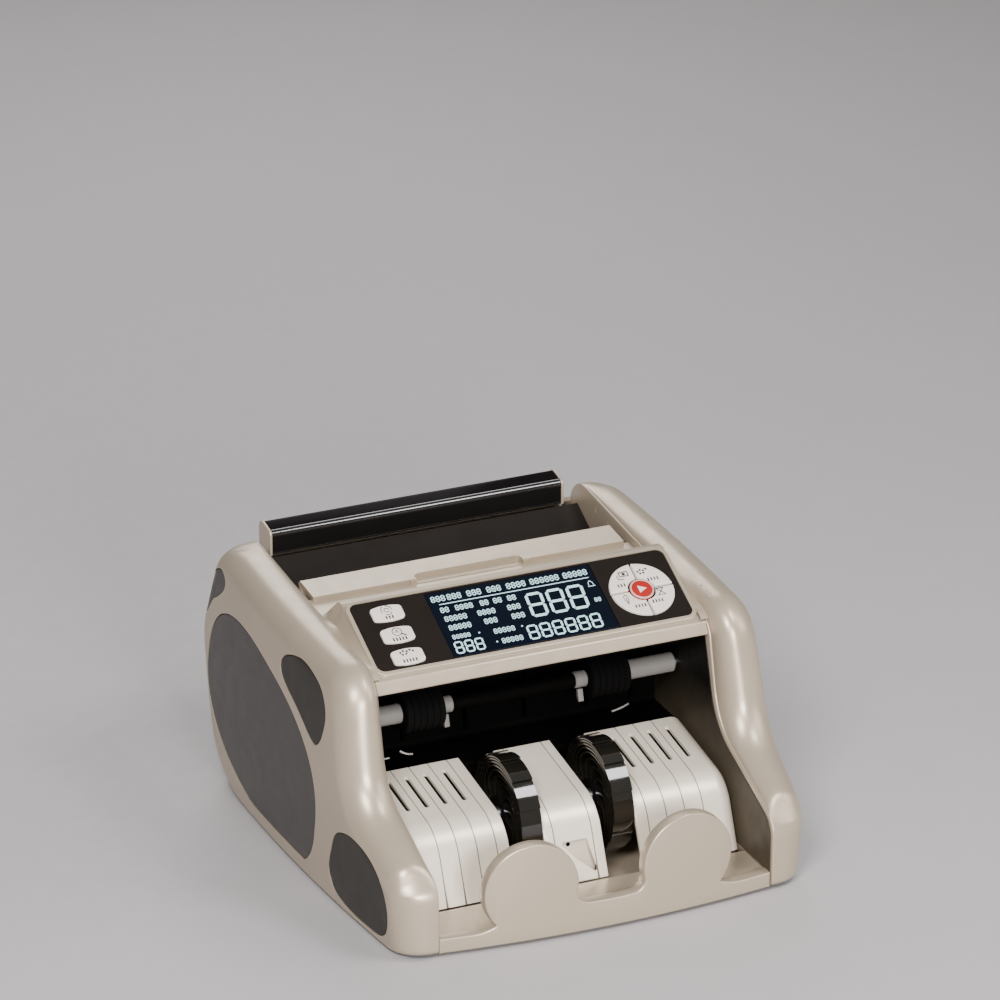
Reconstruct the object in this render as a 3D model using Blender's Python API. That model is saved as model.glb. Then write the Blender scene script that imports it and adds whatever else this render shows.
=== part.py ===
"""Banknote counting machine: a desktop currency counter with a rear hopper and a front stacker.

Frame: +X right, +Y to the back, +Z up; the origin is on the table under the middle of the machine.
Lengths below are in millimetres and angles in degrees; MM turns a length into Blender's metres.
"""

import math

import bmesh
import bpy
from mathutils import Matrix, Vector

MM = 0.001
GAP = 0.3  # between pieces that touch

# ---- driving dimensions ----
HALF_WIDTH = 145.0
BAY_HALF = 110.0  # inner faces of the two cheeks
COVER_BOTTOM = 3.0
WALL = 3.0
SHOULDER = 16.0  # radius that turns a cheek's rim into its side
INSIDE = BAY_HALF - 0.5  # half-width of the pieces that span between the cheeks

# A cheek's rim seen from the side, as (y, z, corner radius): bottom front, nose, elbow, upper
# front, upper rear, rear and bottom rear. It is wider at the crown than at the bay's edge.
RIM_AT_BAY = [(-153.5, COVER_BOTTOM, 4), (-153.5, 47, 15), (-74.5, 79, 24), (-59, 144, 18),
              (137, 160.5, 22), (161.8, 98, 40), (140, COVER_BOTTOM, 12)]
RIM_AT_CROWN = [(-147, COVER_BOTTOM, 5), (-149, 54, 20), (-91.5, 79, 24), (-71, 154, 28),
                (136, 161, 30), (158, 98, 45), (138, COVER_BOTTOM, 30)]
RUNS = [1, 2, 2, 5, 1, 3, 6]  # pieces of each straight run between those corners
SIDE_CENTRE = (15.0, 75.0)
SIDE_HIGH_POINT = (20.0, 70.0)
SIDE_FALL = (6.0, 4.0)  # how far the side falls away 140 mm along Y and 70 mm along Z

# The control panel's plane: a point on its lower edge, and its tilt about X.
PANEL_AT = (0.0, -52.0, 144.0)
PANEL_TILT = 25.8
PANEL_DEPTH = 54.3  # up the slope
FASCIA_HALF = 104.5
FASCIA_THICK = 1.5
LCD_HALF = 55.0
LCD_SPAN = (1.2, 52.8)
KEY_PROUD = 1.3
FUNCTION_KEY = (20.5, 12.4)
FUNCTION_KEY_X = -82.8
FUNCTION_KEY_ROWS = {"top": 43.1, "middle": 25.6, "bottom": 8.1}
PAD_AT = (79.7, 25.8)
PAD_RADIUS = 20.5
PAD_INNER = 8.8
PAD_SPLIT = 0.45  # half the gap between two keys of the round pad
START_RADIUS = 7.6

# Shafts run along X: (y, z) of each axis, and each pulley's radius in its belt's plane.
TRANSPORT_AT = (-13.0, 95.0)
FEED_AT = (84.0, 104.0)
IMPELLER_AT = (-66.0, 43.0)
MOTOR_AT = (88.0, 42.0)
SHAFT_R = 4.0
BORE_R = SHAFT_R + GAP
TIMING_R = {"transport": 14.0, "feed": 12.0, "impeller": 24.0}
MOTOR_BELT_R = {"transport": 20.0, "motor": 8.0}
TIMING_PLANE = (-125.2, -117.5)
MOTOR_PLANE = (-133.5, -127.3)
BELT_THICK = 1.5

IMPELLER_R = 36.5
IMPELLER_X = {"left": -26.3, "right": 34.9}
IMPELLER_WIDTH = 13.5
VANES = 12
VANE_SWEEP = 2.4  # how far round a vane runs from the hub to its tip, in radians
VANE_THICK = 1.1
TRANSPORT_ROLLER_R = 13.0
FEED_ROLLER_R = 15.0

HOPPER_FLOOR = [(131, 144.3), (71, 113.5)]
STACKER_PROFILE = [(-27, 64.5, 0), (-97, 53.5, 28), (-114, 12.2, 0)]
SLOT_X = (56.5, 69.0, 81.3, 93.6)
STOPPER_LOBE = (51.5, 36.0, 30.0)  # x, z and radius of each round ear
STOPPER_EXTRA = 2.5  # how much thicker the stopper is above the tray
FRONT_BOW = 7.0  # how far the front edge falls back 103 mm from the middle
REAR_FOOT = 139.4  # y of the rear wall's lower edge
REAR_TILT = math.degrees(math.atan2(161.8 - 140, 98 - COVER_BOTTOM))

# Grey inlays in the sides, seen from the side: a tilted oval, and three leaves as rounded corners.
OVAL = {"at": (45, 66), "half": (89, 57.5), "tilt": 14, "power": 2.3, "floor": 11.5}
LEAVES = {
    "upper_front": [(-57, 143, 16), (-48, 94, 7), (18, 128, 6), (4, 144, 12)],
    "lower_front": [(-76, 59, 10), (-118, 62, 24), (-141, 46, 16), (-139, 9, 14),
                    (-86, 7, 14), (-57, 22, 9)],
    "upper_rear": [(107, 147, 4), (131, 147.5, 10), (142, 130, 14), (147, 106, 4), (128, 126, 20)],
}
INLAY_DEPTH = 1.2
RECESS_DEPTH = 2.0
OVAL_POINTS = 28


# ---- outlines ----
def rounded(corners, steps=4, runs=None):
    """The polygon of these (a, b, radius) corners with an arc at each; runs divides the straights."""
    points = []
    count = len(corners)
    for i in range(count):
        here = Vector(corners[i][:2])
        radius = corners[i][2]
        if not radius:
            arc = [here]
        else:
            back = (Vector(corners[i - 1][:2]) - here).normalized()
            on = (Vector(corners[(i + 1) % count][:2]) - here).normalized()
            half = math.acos(max(-1.0, min(1.0, back.dot(on)))) / 2
            middle = here + (back + on).normalized() * radius / math.sin(half)
            first = here + back * radius / math.tan(half) - middle
            last = here + on * radius / math.tan(half) - middle
            start = math.atan2(first.y, first.x)
            turn = (math.atan2(last.y, last.x) - start + math.pi) % (2 * math.pi) - math.pi
            arc = [middle + radius * Vector((math.cos(start + turn * k / steps),
                                             math.sin(start + turn * k / steps)))
                   for k in range(steps + 1)]
        points.append(arc)
    outline = []
    for i, arc in enumerate(points):
        outline += arc
        if runs:
            after = points[(i + 1) % count][0]
            outline += [arc[-1].lerp(after, k / runs[i]) for k in range(1, runs[i])]
    return outline


def moved_in(corners, distances):
    """The same corners with each edge moved inwards; the corners go clockwise."""
    count = len(corners)
    lines = []
    for i in range(count):
        here = Vector(corners[i][:2])
        along = (Vector(corners[(i + 1) % count][:2]) - here).normalized()
        lines.append((here + Vector((along.y, -along.x)) * distances[i], along))
    result = []
    for i in range(count):
        (p, d), (q, e) = lines[i - 1], lines[i]
        cross = d.x * e.y - d.y * e.x
        t = ((q.x - p.x) * e.y - (q.y - p.y) * e.x) / cross
        radius = corners[i][2] + math.copysign(min(distances[i - 1], distances[i]), cross)
        result.append((p.x + d.x * t, p.y + d.y * t, max(radius, 1.0) if corners[i][2] else 0))
    return result


def circle(at, radius, count=16):
    turn = 2 * math.pi / count
    return [Vector((at[0] + radius * math.cos(turn * k), at[1] + radius * math.sin(turn * k)))
            for k in range(count)]


def rectangle(low, high):
    return [Vector(low), Vector((low[0], high[1])), Vector(high), Vector((high[0], low[1]))]


def sheet(path, thickness):
    """A closed outline: the path, and the path moved to its right by thickness."""
    points = [Vector(p) for p in path]
    other = []
    for i, p in enumerate(points):
        normals = []
        for a, b in ((i - 1, i), (i, i + 1)):
            if a >= 0 and b < len(points):
                along = (points[b] - points[a]).normalized()
                normals.append(Vector((along.y, -along.x)))
        mitre = sum(normals, Vector((0, 0))).normalized()
        other.append(p + mitre * thickness / mitre.dot(normals[0]))
    return points + other[::-1]


def hull(points):
    """The convex outline round some points."""
    ordered = sorted((p.x, p.y) for p in points)

    def chain(run):
        kept = []
        for p in run:
            while len(kept) > 1 and ((kept[-1][0] - kept[-2][0]) * (p[1] - kept[-2][1])
                                     - (kept[-1][1] - kept[-2][1]) * (p[0] - kept[-2][0])) <= 0:
                kept.pop()
            kept.append(p)
        return kept[:-1]

    return [Vector(p) for p in chain(ordered) + chain(ordered[::-1])]


# ---- meshes and objects ----
def on_axis(axis, a, b, t):
    """The point at (a, b) of an outline's plane and t along the axis."""
    return {"x": (t, a, b), "y": (a, t, b), "z": (a, b, t)}[axis]


def loft(bm, rings, close_ends=True):
    """Faces between successive rings of points, with a face over each end."""
    made = [[bm.verts.new(p) for p in ring] for ring in rings]
    count = len(made[0])
    for low, high in zip(made, made[1:]):
        for i in range(count):
            j = (i + 1) % count
            bm.faces.new((low[i], low[j], high[j], high[i]))
    if close_ends:
        bm.faces.new(made[0][::-1])
        bm.faces.new(made[-1])
    return made


def prism(bm, outline, low, high, axis="x"):
    loft(bm, [[on_axis(axis, p[0], p[1], t) for p in outline] for t in (low, high)])


def block(bm, low, high):
    prism(bm, rectangle(low[1:], high[1:]), low[0], high[0])


def turned(bm, profile, count=20, bore=0.0):
    """A body turned about X from (x, radius) pairs; a bore leaves a hole through it."""
    profile = [(profile[0][0], bore)] * bool(bore) + profile + [(profile[-1][0], bore)] * bool(bore)
    rings = [[(x, *p) for p in circle((0, 0), r, count)] for x, r in profile]
    if bore:
        made = loft(bm, rings[:-1], close_ends=False)
        last = [bm.verts.new(p) for p in rings[-1]]
        for i in range(count):
            j = (i + 1) % count
            bm.faces.new((made[-1][i], made[-1][j], last[j], last[i]))
            bm.faces.new((last[i], last[j], made[0][j], made[0][i]))
    else:
        loft(bm, rings)


def make(name, bm, material, at=(0, 0, 0), parent=None, smooth=True):
    """The mesh in millimetres as an object in metres, with its origin at `at`."""
    bmesh.ops.recalc_face_normals(bm, faces=bm.faces)
    mesh = bpy.data.meshes.new(name)
    bm.to_mesh(mesh)
    bm.free()
    mesh.transform(Matrix.Scale(MM, 4))
    if smooth:
        mesh.shade_smooth()
        mesh.set_sharp_from_angle(angle=math.radians(32))
    mesh.materials.append(material)
    obj = bpy.data.objects.new(name, mesh)
    obj.location = Vector(at) * MM
    obj.parent = parent
    bpy.context.scene.collection.objects.link(obj)
    return obj


def shape(fill, *arguments, **named):
    """A new bmesh with one primitive in it."""
    bm = bmesh.new()
    fill(bm, *arguments, **named)
    return bm


def combine(obj, bm, operation="DIFFERENCE"):
    """Cuts the mesh from the object, or unites it with it."""
    tool = make(f"{obj.name}_tool", bm, obj.data.materials[0], smooth=False)
    tool.parent = obj.parent
    tool.location = obj.location
    tool.hide_render = True
    tool.display_type = "WIRE"
    modifier = obj.modifiers.new(operation.lower(), "BOOLEAN")
    modifier.operation = operation
    modifier.solver = "EXACT"
    modifier.object = tool


def finish(name, colour, roughness, metallic=0.0):
    material = bpy.data.materials.new(name)
    material.use_nodes = True
    shader = material.node_tree.nodes["Principled BSDF"]
    shader.inputs["Base Color"].default_value = (*colour, 1)
    shader.inputs["Roughness"].default_value = roughness
    shader.inputs["Metallic"].default_value = metallic
    return material


# ---- the curved sides ----
def side_x(y, z):
    """How far out the side's skin is at (y, z), away from its shoulders."""
    along = (y - SIDE_HIGH_POINT[0]) / 140
    up = (z - SIDE_HIGH_POINT[1]) / 70
    return HALF_WIDTH - SIDE_FALL[0] * along ** 2 - SIDE_FALL[1] * up ** 2


def distance_to(outline, y, z):
    """From (y, z) to the nearest point of an outline."""
    best = math.inf
    here = Vector((y, z))
    for a, b in zip(outline, outline[1:] + outline[:1]):
        along = b - a
        t = max(0.0, min(1.0, (here - a).dot(along) / max(along.length_squared, 1e-9)))
        best = min(best, (a + along * t - here).length)
    return best


def skin_x(y, z, crown):
    """How far out the finished skin is, shoulders included."""
    inside = min(distance_to(crown, y, z), SHOULDER)
    return side_x(y, z) - SHOULDER * (1 - math.sqrt(1 - ((SHOULDER - inside) / SHOULDER) ** 2))


def cover_mesh(sign, wall):
    """The solid inside a cheek's skin moved in by wall; one with wall runs out of its bottom."""
    bottom = -8.0 if wall else 0.0
    distances = [wall] * 6 + [bottom]
    bay_corners = moved_in(RIM_AT_BAY, distances)
    crown_corners = moved_in(RIM_AT_CROWN, distances)
    if wall:
        for corners, rim in ((bay_corners, RIM_AT_BAY), (crown_corners, RIM_AT_CROWN)):
            corners[-1] = (*corners[-1][:2], 2 * rim[-1][2])  # keeps the wall whole round this corner
    bay = rounded(bay_corners, runs=RUNS)
    rings = []
    crown = rounded(crown_corners, runs=RUNS)
    shoulder = SHOULDER - wall
    for share in (0.0, 0.5):
        out = math.sin(share * math.pi / 2)
        width = 1 - math.cos(share * math.pi / 2)
        ring = []
        for p, q in zip(bay, crown):
            y, z = p.lerp(q, out)
            edge = side_x(q.x, q.y) - wall - shoulder
            ring.append((sign * (BAY_HALF + wall + (edge - BAY_HALF - wall) * width), y, z))
        rings.append(ring)
    for angle in (0, 40, 90):
        inward = shoulder * (1 - math.cos(math.radians(angle)))
        inner = rounded(moved_in(crown_corners, [inward] * 6 + [0.0]), runs=RUNS)
        drop = shoulder * (1 - math.sin(math.radians(angle)))
        rings.append([(sign * (side_x(*p) - wall - drop), *p) for p in inner])
    centre = Vector(SIDE_CENTRE)
    halfway = [centre.lerp(p, 0.5) for p in inner]
    rings.append([(sign * (side_x(*p) - wall), *p) for p in halfway])
    bm = bmesh.new()
    made = loft(bm, rings, close_ends=False)
    bm.faces.new(made[0][::-1])
    top = bm.verts.new((sign * (side_x(*centre) - wall), *centre))
    for a, b in zip(made[-1], made[-1][1:] + made[-1][:1]):
        bm.faces.new((a, b, top))
    return bm


def oval_outline(grow=0.0):
    """The tilted oval, flattened where it nears the bottom edge."""
    half = OVAL["half"]
    tilt = math.radians(OVAL["tilt"])
    points = []
    for k in range(OVAL_POINTS):
        angle = -2 * math.pi * k / OVAL_POINTS
        c, s = math.cos(angle), math.sin(angle)
        u = (half[0] + grow) * math.copysign(abs(c) ** (2 / OVAL["power"]), c)
        v = (half[1] + grow) * math.copysign(abs(s) ** (2 / OVAL["power"]), s)
        y = OVAL["at"][0] + u * math.cos(tilt) - v * math.sin(tilt)
        z = OVAL["at"][1] + u * math.sin(tilt) + v * math.cos(tilt)
        points.append(Vector((y, max(z, OVAL["floor"] - grow))))
    return points


def leaf_outline(corners, grow=0.0):
    """A leaf's outline; its corners are turned clockwise first, so that it can grow outwards."""
    area = sum(a[0] * b[1] - a[1] * b[0] for a, b in zip(corners, corners[1:] + corners[:1]))
    clockwise = corners[::-1] if area > 0 else corners
    return rounded(moved_in(clockwise, [-grow] * len(corners)), steps=3)


def inlay_mesh(sign, outline, crown, inner, outer):
    """A plate that follows the skin, from inner to outer past it, over the outline."""
    centre = sum(outline, Vector((0, 0))) / len(outline)
    bm = bmesh.new()
    faces = []
    for past in (inner, outer):
        rings = []
        for share in (1.0, 0.5):
            ring = [centre.lerp(p, share) for p in outline]
            rings.append([(sign * (skin_x(p.x, p.y, crown) + past), p.x, p.y) for p in ring])
        made = loft(bm, rings, close_ends=False)
        top = bm.verts.new((sign * (skin_x(*centre, crown) + past), *centre))
        for a, b in zip(made[-1], made[-1][1:] + made[-1][:1]):
            bm.faces.new((a, b, top))
        faces.append(made[0])
    for (a, b), (c, d) in zip(zip(faces[0], faces[0][1:] + faces[0][:1]),
                              zip(faces[1], faces[1][1:] + faces[1][:1])):
        bm.faces.new((a, b, d, c))
    return bm


def build_sides(shell, grey):
    """The two side covers, hollow and open below, with their four inlays each."""
    crown = rounded(RIM_AT_CROWN, runs=RUNS)
    for side, sign in (("left", -1), ("right", 1)):
        cover = make(f"{side}_side_cover", cover_mesh(sign, 0.0), shell)
        combine(cover, cover_mesh(sign, WALL))
        wall = sorted((sign * (BAY_HALF - 1), sign * (BAY_HALF + WALL + 1)))
        combine(cover, shape(block, (wall[0], -143, -5), (wall[1], 134, 5.4)))
        for at in (TRANSPORT_AT, FEED_AT, IMPELLER_AT, MOTOR_AT):
            if at is not MOTOR_AT or sign < 0:
                combine(cover, shape(prism, circle(at, 7), *wall))
        outlines = {"oval": oval_outline}
        outlines.update({name: (lambda grow=0.0, c=c: leaf_outline(c, grow))
                         for name, c in LEAVES.items()})
        for name, outline in outlines.items():
            make(f"{side}_inlay_{name}", inlay_mesh(sign, outline(), crown, -INLAY_DEPTH, 0.0), grey)
            recess = inlay_mesh(sign, outline(0.5), crown, -RECESS_DEPTH, 8.0)
            combine(cover, recess)


# ---- lower housing ----
def bow(x, middle):
    """The y of the bowed front edge at x, when its middle is at y = middle."""
    return middle + FRONT_BOW * (x / 103) ** 2


def front_steps():
    """The x of each point of a bowed edge."""
    return [INSIDE * k / 8 for k in range(-8, 9)]


def build_base(shell, rubber):
    """The base plate, which reaches under the cheeks, with the tray that catches the notes."""
    front = [(x, bow(x, -155.0)) for x in front_steps()]
    plan = front + [(INSIDE, -141), (112, -141), (130, -124), (130, 98), (112, 122),
                    (INSIDE, 122), (INSIDE, 136), (-INSIDE, 136), (-INSIDE, 122), (-112, 122),
                    (-130, 98), (-130, -124), (-112, -141), (-INSIDE, -141)]
    tray = make("base_tray", shape(prism, plan, 2.9, 5.0, axis="z"), shell)
    raised = front + [(INSIDE, -116), (-INSIDE, -116)]
    combine(tray, shape(prism, raised, 4.0, 11.2, axis="z"), "UNION")
    under = [(x * 0.975, bow(x, -152.6)) for x in front_steps()] + [(106.8, -118.5), (-106.8, -118.5)]
    combine(tray, shape(prism, under, 2.0, 8.9, axis="z"))
    for name, x, y in (("front_left", -112, -116), ("front_right", 112, -116),
                       ("rear_left", -112, 108), ("rear_right", 112, 108)):
        make(f"foot_{name}", shape(prism, circle((0, 0), 9), 0, 2.6, axis="z"), rubber, at=(x, y, 0))


def build_stopper(shell):
    """The bowed front wall whose two round ears stop the notes."""
    lobe_x, lobe_z, radius = STOPPER_LOBE
    right = []
    for k in range(15):
        angle = math.radians(-42 + k * (222 + 14) / 14)
        right.append((lobe_x + radius * math.cos(angle), lobe_z + radius * math.sin(angle)))
    right = [p for p in right if p[1] > 14.5 and p[0] > 12]
    upper = [(INSIDE, 12.5), (88, 12.5), (79, 13.6)] + right + [(20.5, 24.5), (13, 21.2)]
    outline = upper + [(-x, z) for x, z in upper[::-1]]
    base = [(x, COVER_BOTTOM) for x in front_steps()]
    bm = shape(prism, outline + base, -4.5, 0, axis="y")
    for x in front_steps()[1:-1]:
        parts = bm.verts[:] + bm.edges[:] + bm.faces[:]
        bmesh.ops.bisect_plane(bm, geom=parts, dist=1e-4, plane_co=(x, 0, 0), plane_no=(1, 0, 0))
    for z in (11.6, 12.1):
        parts = bm.verts[:] + bm.edges[:] + bm.faces[:]
        bmesh.ops.bisect_plane(bm, geom=parts, dist=1e-4, plane_co=(0, 0, z), plane_no=(0, 0, 1))
    for vert in bm.verts:
        if vert.co.y > -0.1 and vert.co.z > 12:
            vert.co.y += STOPPER_EXTRA
        vert.co.y += bow(vert.co.x, -155.5)
    make("front_stopper", bm, shell)


def build_rear(shell):
    """The back wall with its vents and the two openings for the mains."""
    path = rounded([(143.4, 143.6, 0), (161.2, 98, 38), (REAR_FOOT, COVER_BOTTOM, 0)], steps=5)
    rear = make("rear_cover", shape(prism, sheet(path, WALL), -INSIDE, INSIDE), shell)
    slots = bmesh.new()
    for column in (-84, -28):
        for row in range(6):
            low = 30 + row * 9
            block(slots, (column - 22, 130, low), (column + 22, 170, low + 3.2))
    combine(rear, slots)
    return rear


def rear_frame(x, z):
    """An empty on the outside of the rear wall: its Z points out and its Y up the wall."""
    frame = bpy.data.objects.new(f"rear_frame_{int(x)}", None)
    tilt = math.radians(REAR_TILT)
    up = Vector((0, math.sin(tilt), math.cos(tilt)))
    out = Vector((0, math.cos(tilt), -math.sin(tilt)))
    y = REAR_FOOT + (z - COVER_BOTTOM) * math.tan(tilt)
    matrix = Matrix((Vector((-1, 0, 0)), up, out)).transposed().to_4x4()
    matrix.translation = Vector((x, y, z)) * MM
    frame.matrix_world = matrix
    bpy.context.scene.collection.objects.link(frame)
    return frame


def build_mains(rear, black):
    """The socket for the mains lead, and the rocker switch beside it."""
    socket_at = rear_frame(78, 36)
    cutter = make("rear_socket_tool", shape(prism, rectangle((-14, -10.5), (14, 10.5)), -8, 8, axis="z"),
                  black, parent=socket_at, smooth=False)
    socket = make("ac_inlet", shape(prism, rounded([(-15.5, -12, 2), (-15.5, 12, 2), (15.5, 12, 2),
                                                    (15.5, -12, 2)], steps=2), 0.3, 2.3, axis="z"),
                  black, parent=socket_at)
    combine(socket, shape(prism, rectangle((-13.6, -10.1), (13.6, 10.1)), -16, 1.0, axis="z"), "UNION")
    recess = rounded([(-12, -8.3, 1), (-12, 8.3, 4), (12, 8.3, 4), (12, -8.3, 1)], steps=2)
    combine(socket, shape(prism, recess, -13.5, 4, axis="z"))
    switch_at = rear_frame(38, 36)
    hole = make("rear_switch_tool", shape(prism, rectangle((-6.6, -10.4), (6.6, 10.4)), -8, 8, axis="z"),
                black, parent=switch_at, smooth=False)
    for tool in (cutter, hole):
        tool.hide_render = True
        tool.display_type = "WIRE"
        modifier = rear.modifiers.new("opening", "BOOLEAN")
        modifier.operation = "DIFFERENCE"
        modifier.solver = "EXACT"
        modifier.object = tool
    profile = [(-9, -3), (-9, 3.1), (0, 1.7), (9, 3.1), (9, -3)]
    rocker = make("power_switch", shape(prism, profile, -6, 6), black, at=(0, 0, -1.2), parent=switch_at)
    rocker.rotation_euler = (math.radians(-7), 0, 0)


# ---- hopper ----
def build_hopper(shell, matt_black, gloss_black):
    """Where the notes go in: cream front plate, black sloping floor, and the glossy rear bar."""
    strip = sheet([(27.6, 147.0), (54.0, 148.2)], WALL)
    front = make("hopper_front_plate", shape(prism, strip, -INSIDE, INSIDE), shell)
    upper = sheet([(51.0, 151.2), (72.2, 153.4), (74.6, 151.6), (68.8, 119.0)], WALL)
    step = [(51.0, 151.2), (51.0, 146.0), (54.5, 146.0), (54.5, 149.5)]
    combine(front, shape(prism, upper, -104.6, 104.6), "UNION")
    combine(front, shape(prism, step, -104.6, 104.6), "UNION")
    combine(front, shape(block, (-40, 50, 146.2), (40, 60.5, 150.8)), "UNION")
    scoop = rounded([(-36, 40, 0), (-36, 57, 5), (36, 57, 5), (36, 40, 0)])
    combine(front, shape(prism, scoop, 148.6, 160, axis="z"))
    floor = make("hopper_floor", shape(prism, sheet(HOPPER_FLOOR[::-1], WALL), -INSIDE, INSIDE), matt_black)
    slots = bmesh.new()
    for x in (-34, 34):
        block(slots, (x - 13, 66, 90), (x + 13, 103, 150))
    combine(floor, slots)
    profile = [(131.6, 145.4, 1.0), (131.6, 160.6, 3.2), (150, 164.2, 5.5), (149, 145.4, 2.0)]
    make("hopper_bar", shape(prism, rounded(profile), -98.4, 98.4), gloss_black)
    bracket = rounded([(131.2, 144.9, 0), (131.2, 161.2, 3.4), (150.4, 164.8, 5.8), (149.4, 144.9, 2.0),
                       (139.6, 144.9, 0), (138, 132, 2), (133.6, 132, 2), (133.6, 144.9, 0)])
    for side, sign in (("left", -1), ("right", 1)):
        low, high = sorted((sign * 98.7, sign * 100.2))
        make(f"bar_cap_{side}", shape(prism, bracket, low, high), shell)


# ---- stacker and its dark bay ----
def build_stacker(plate):
    """Three curved plates that the counted notes slide down, with the two impellers between."""
    profile = sheet(rounded(STACKER_PROFILE, steps=8)[::-1], 2.0)
    for name, low, high in (("left", -108.8, -42.0), ("center", -19.0, 19.0), ("right", 42.0, 108.8)):
        piece = make(f"stacker_plate_{name}", shape(prism, profile, low, high), plate)
        if name == "center":
            continue
        slots = bmesh.new()
        sign = math.copysign(1, low + high)
        for x in SLOT_X:
            block(slots, (sign * x - 1.3, -70, 40), (sign * x + 1.3, -36, 80))
        combine(piece, slots)


def build_liner(matt_black):
    """The dark guide that closes the bay above and behind, with the slot that the notes come through."""
    path = rounded([(-56.5, 131.4, 0), (16, 131.4, 6), (16, 56, 5), (-23, 56, 0)], steps=3)
    liner = make("bay_liner", shape(prism, sheet(path, 1.8), -INSIDE, INSIDE), matt_black)
    combine(liner, shape(block, (-98, 8, 103.5), (98, 24, 111.5)))


def vane_outline():
    """A hub with long thin vanes that wind round it to near-tangential tips."""
    hub = 11.0
    points = []
    for k in range(VANES):
        path = []
        for step in range(8):
            share = step / 7
            radius = hub + (IMPELLER_R - hub) * share
            angle = 2 * math.pi * k / VANES + VANE_SWEEP * share ** 1.3
            path.append((radius * math.cos(angle), radius * math.sin(angle)))
        points += sheet(path, VANE_THICK)[::-1]
    return points


# ---- drive train ----
def body_of_shaft(name, at, steps, material):
    """A turned shaft, from its steps as (x, radius)."""
    return make(name, shape(turned, steps), material, at=(0, *at))


def build_impellers(black, steel):
    """The shaft across the bay with its two vaned wheels and its pulley."""
    for side in ("left", "right"):
        low = IMPELLER_X[side] - IMPELLER_WIDTH / 2
        wheel = make(f"impeller_wheel_{side}", shape(prism, vane_outline(), low, low + IMPELLER_WIDTH),
                     black, at=(0, *IMPELLER_AT))
        combine(wheel, shape(prism, circle((0, 0), BORE_R), low - 1, low + IMPELLER_WIDTH + 1))
    body_of_shaft("impeller_shaft", IMPELLER_AT, [(-126.2, SHAFT_R), (118, SHAFT_R)], steel)
    low, high = TIMING_PLANE
    make("impeller_pulley", shape(turned, pulley(low, high, TIMING_R["impeller"]), bore=BORE_R),
         black, at=(0, *IMPELLER_AT))


def pulley(low, high, radius):
    """A pulley's profile: the track between two low flanges."""
    return [(low - 0.8, radius + 1.2), (low, radius + 1.2), (low, radius),
            (high, radius), (high, radius + 1.2), (high + 0.8, radius + 1.2)]


def build_transport(black, steel, rubber):
    """The upper shaft of the bay with its rubber rollers, spacer sleeves and double pulley."""
    left = [(-134.6, SHAFT_R), (-108, SHAFT_R), (-108, 5.5), (-75.3, 5.5), (-75.3, SHAFT_R),
            (-49, SHAFT_R), (-49, 5.2), (-41, 5.2), (-41, SHAFT_R)]
    right = [(41, SHAFT_R), (41, 5.2), (49, 5.2), (49, SHAFT_R), (75.3, SHAFT_R), (75.3, 5.5),
             (108, 5.5), (108, SHAFT_R), (118, SHAFT_R)]
    body_of_shaft("transport_shaft", TRANSPORT_AT, left + right, steel)
    for side, sign in (("left", -1), ("right", 1)):
        low, high = sorted((sign * 49.4, sign * 74.9))
        make(f"transport_roller_{side}", shape(turned, [(low, TRANSPORT_ROLLER_R), (high, TRANSPORT_ROLLER_R)],
                                               bore=BORE_R), rubber, at=(0, *TRANSPORT_AT))
    inner = pulley(*TIMING_PLANE, TIMING_R["transport"])
    outer = pulley(*MOTOR_PLANE, MOTOR_BELT_R["transport"])
    make("transport_pulley", shape(turned, outer[:4] + [(inner[0][0] - 0.4, MOTOR_BELT_R["transport"])]
                                   + inner[1:], bore=BORE_R), black, at=(0, *TRANSPORT_AT))


def build_feed(black, steel, rubber):
    """The pick-up shaft under the hopper floor, with its two rubber rollers and its pulley."""
    body_of_shaft("feed_shaft", FEED_AT, [(-126.2, SHAFT_R), (118, SHAFT_R)], steel)
    for side, sign in (("left", -1), ("right", 1)):
        low, high = sorted((sign * 24, sign * 44))
        make(f"feed_roller_{side}", shape(turned, [(low, FEED_ROLLER_R), (high, FEED_ROLLER_R)],
                                          bore=BORE_R), rubber, at=(0, *FEED_AT))
    make("feed_pulley", shape(turned, pulley(*TIMING_PLANE, TIMING_R["feed"]), bore=BORE_R),
         black, at=(0, *FEED_AT))


def build_motor(black, steel):
    """The motor in the middle of the machine; its shaft carries the small pulley in the left cheek."""
    make("drive_motor", shape(turned, [(-106, 9), (-103, 9), (-103, 24), (-50, 24), (-50, 8), (-46, 8)]),
         steel, at=(0, *MOTOR_AT))
    profile = [(-134.6, 5), (MOTOR_PLANE[0], 5)] + pulley(*MOTOR_PLANE, MOTOR_BELT_R["motor"])[1:5]
    profile += [(MOTOR_PLANE[1], 5), (-126, 5), (-126, 3), (-106.6, 3)]
    make("motor_pulley", shape(turned, profile), black, at=(0, *MOTOR_AT))


def build_belt(name, wheels, plane, rubber):
    """A belt drawn tight round some pulleys, given as (centre, radius)."""
    low, high = plane[0] + 0.6, plane[1] - 0.6
    rings = [hull([p for at, r in wheels for p in circle(at, r + grow, 32)])
             for grow in (GAP, GAP + BELT_THICK)]
    belt = make(name, shape(prism, rings[1], low, high), rubber)
    combine(belt, shape(prism, rings[0], low - 1, high + 1))


def build_frames(steel):
    """The two steel plates inside the cheeks that carry the shafts."""
    outline = rounded([(-100, 5.4, 3), (-100, 58, 6), (-72, 70, 12), (-46, 128, 10), (122, 142, 10),
                       (140, 98, 14), (126, 5.4, 3)], steps=3)
    for side, sign in (("left", -1), ("right", 1)):
        low, high = sorted((sign * 113.4, sign * 114.9))
        plate = make(f"side_frame_{side}", shape(prism, outline, low, high), steel)
        for at in (TRANSPORT_AT, FEED_AT, IMPELLER_AT, MOTOR_AT):
            combine(plate, shape(prism, circle(at, BORE_R), low - 1, high + 1))


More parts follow.
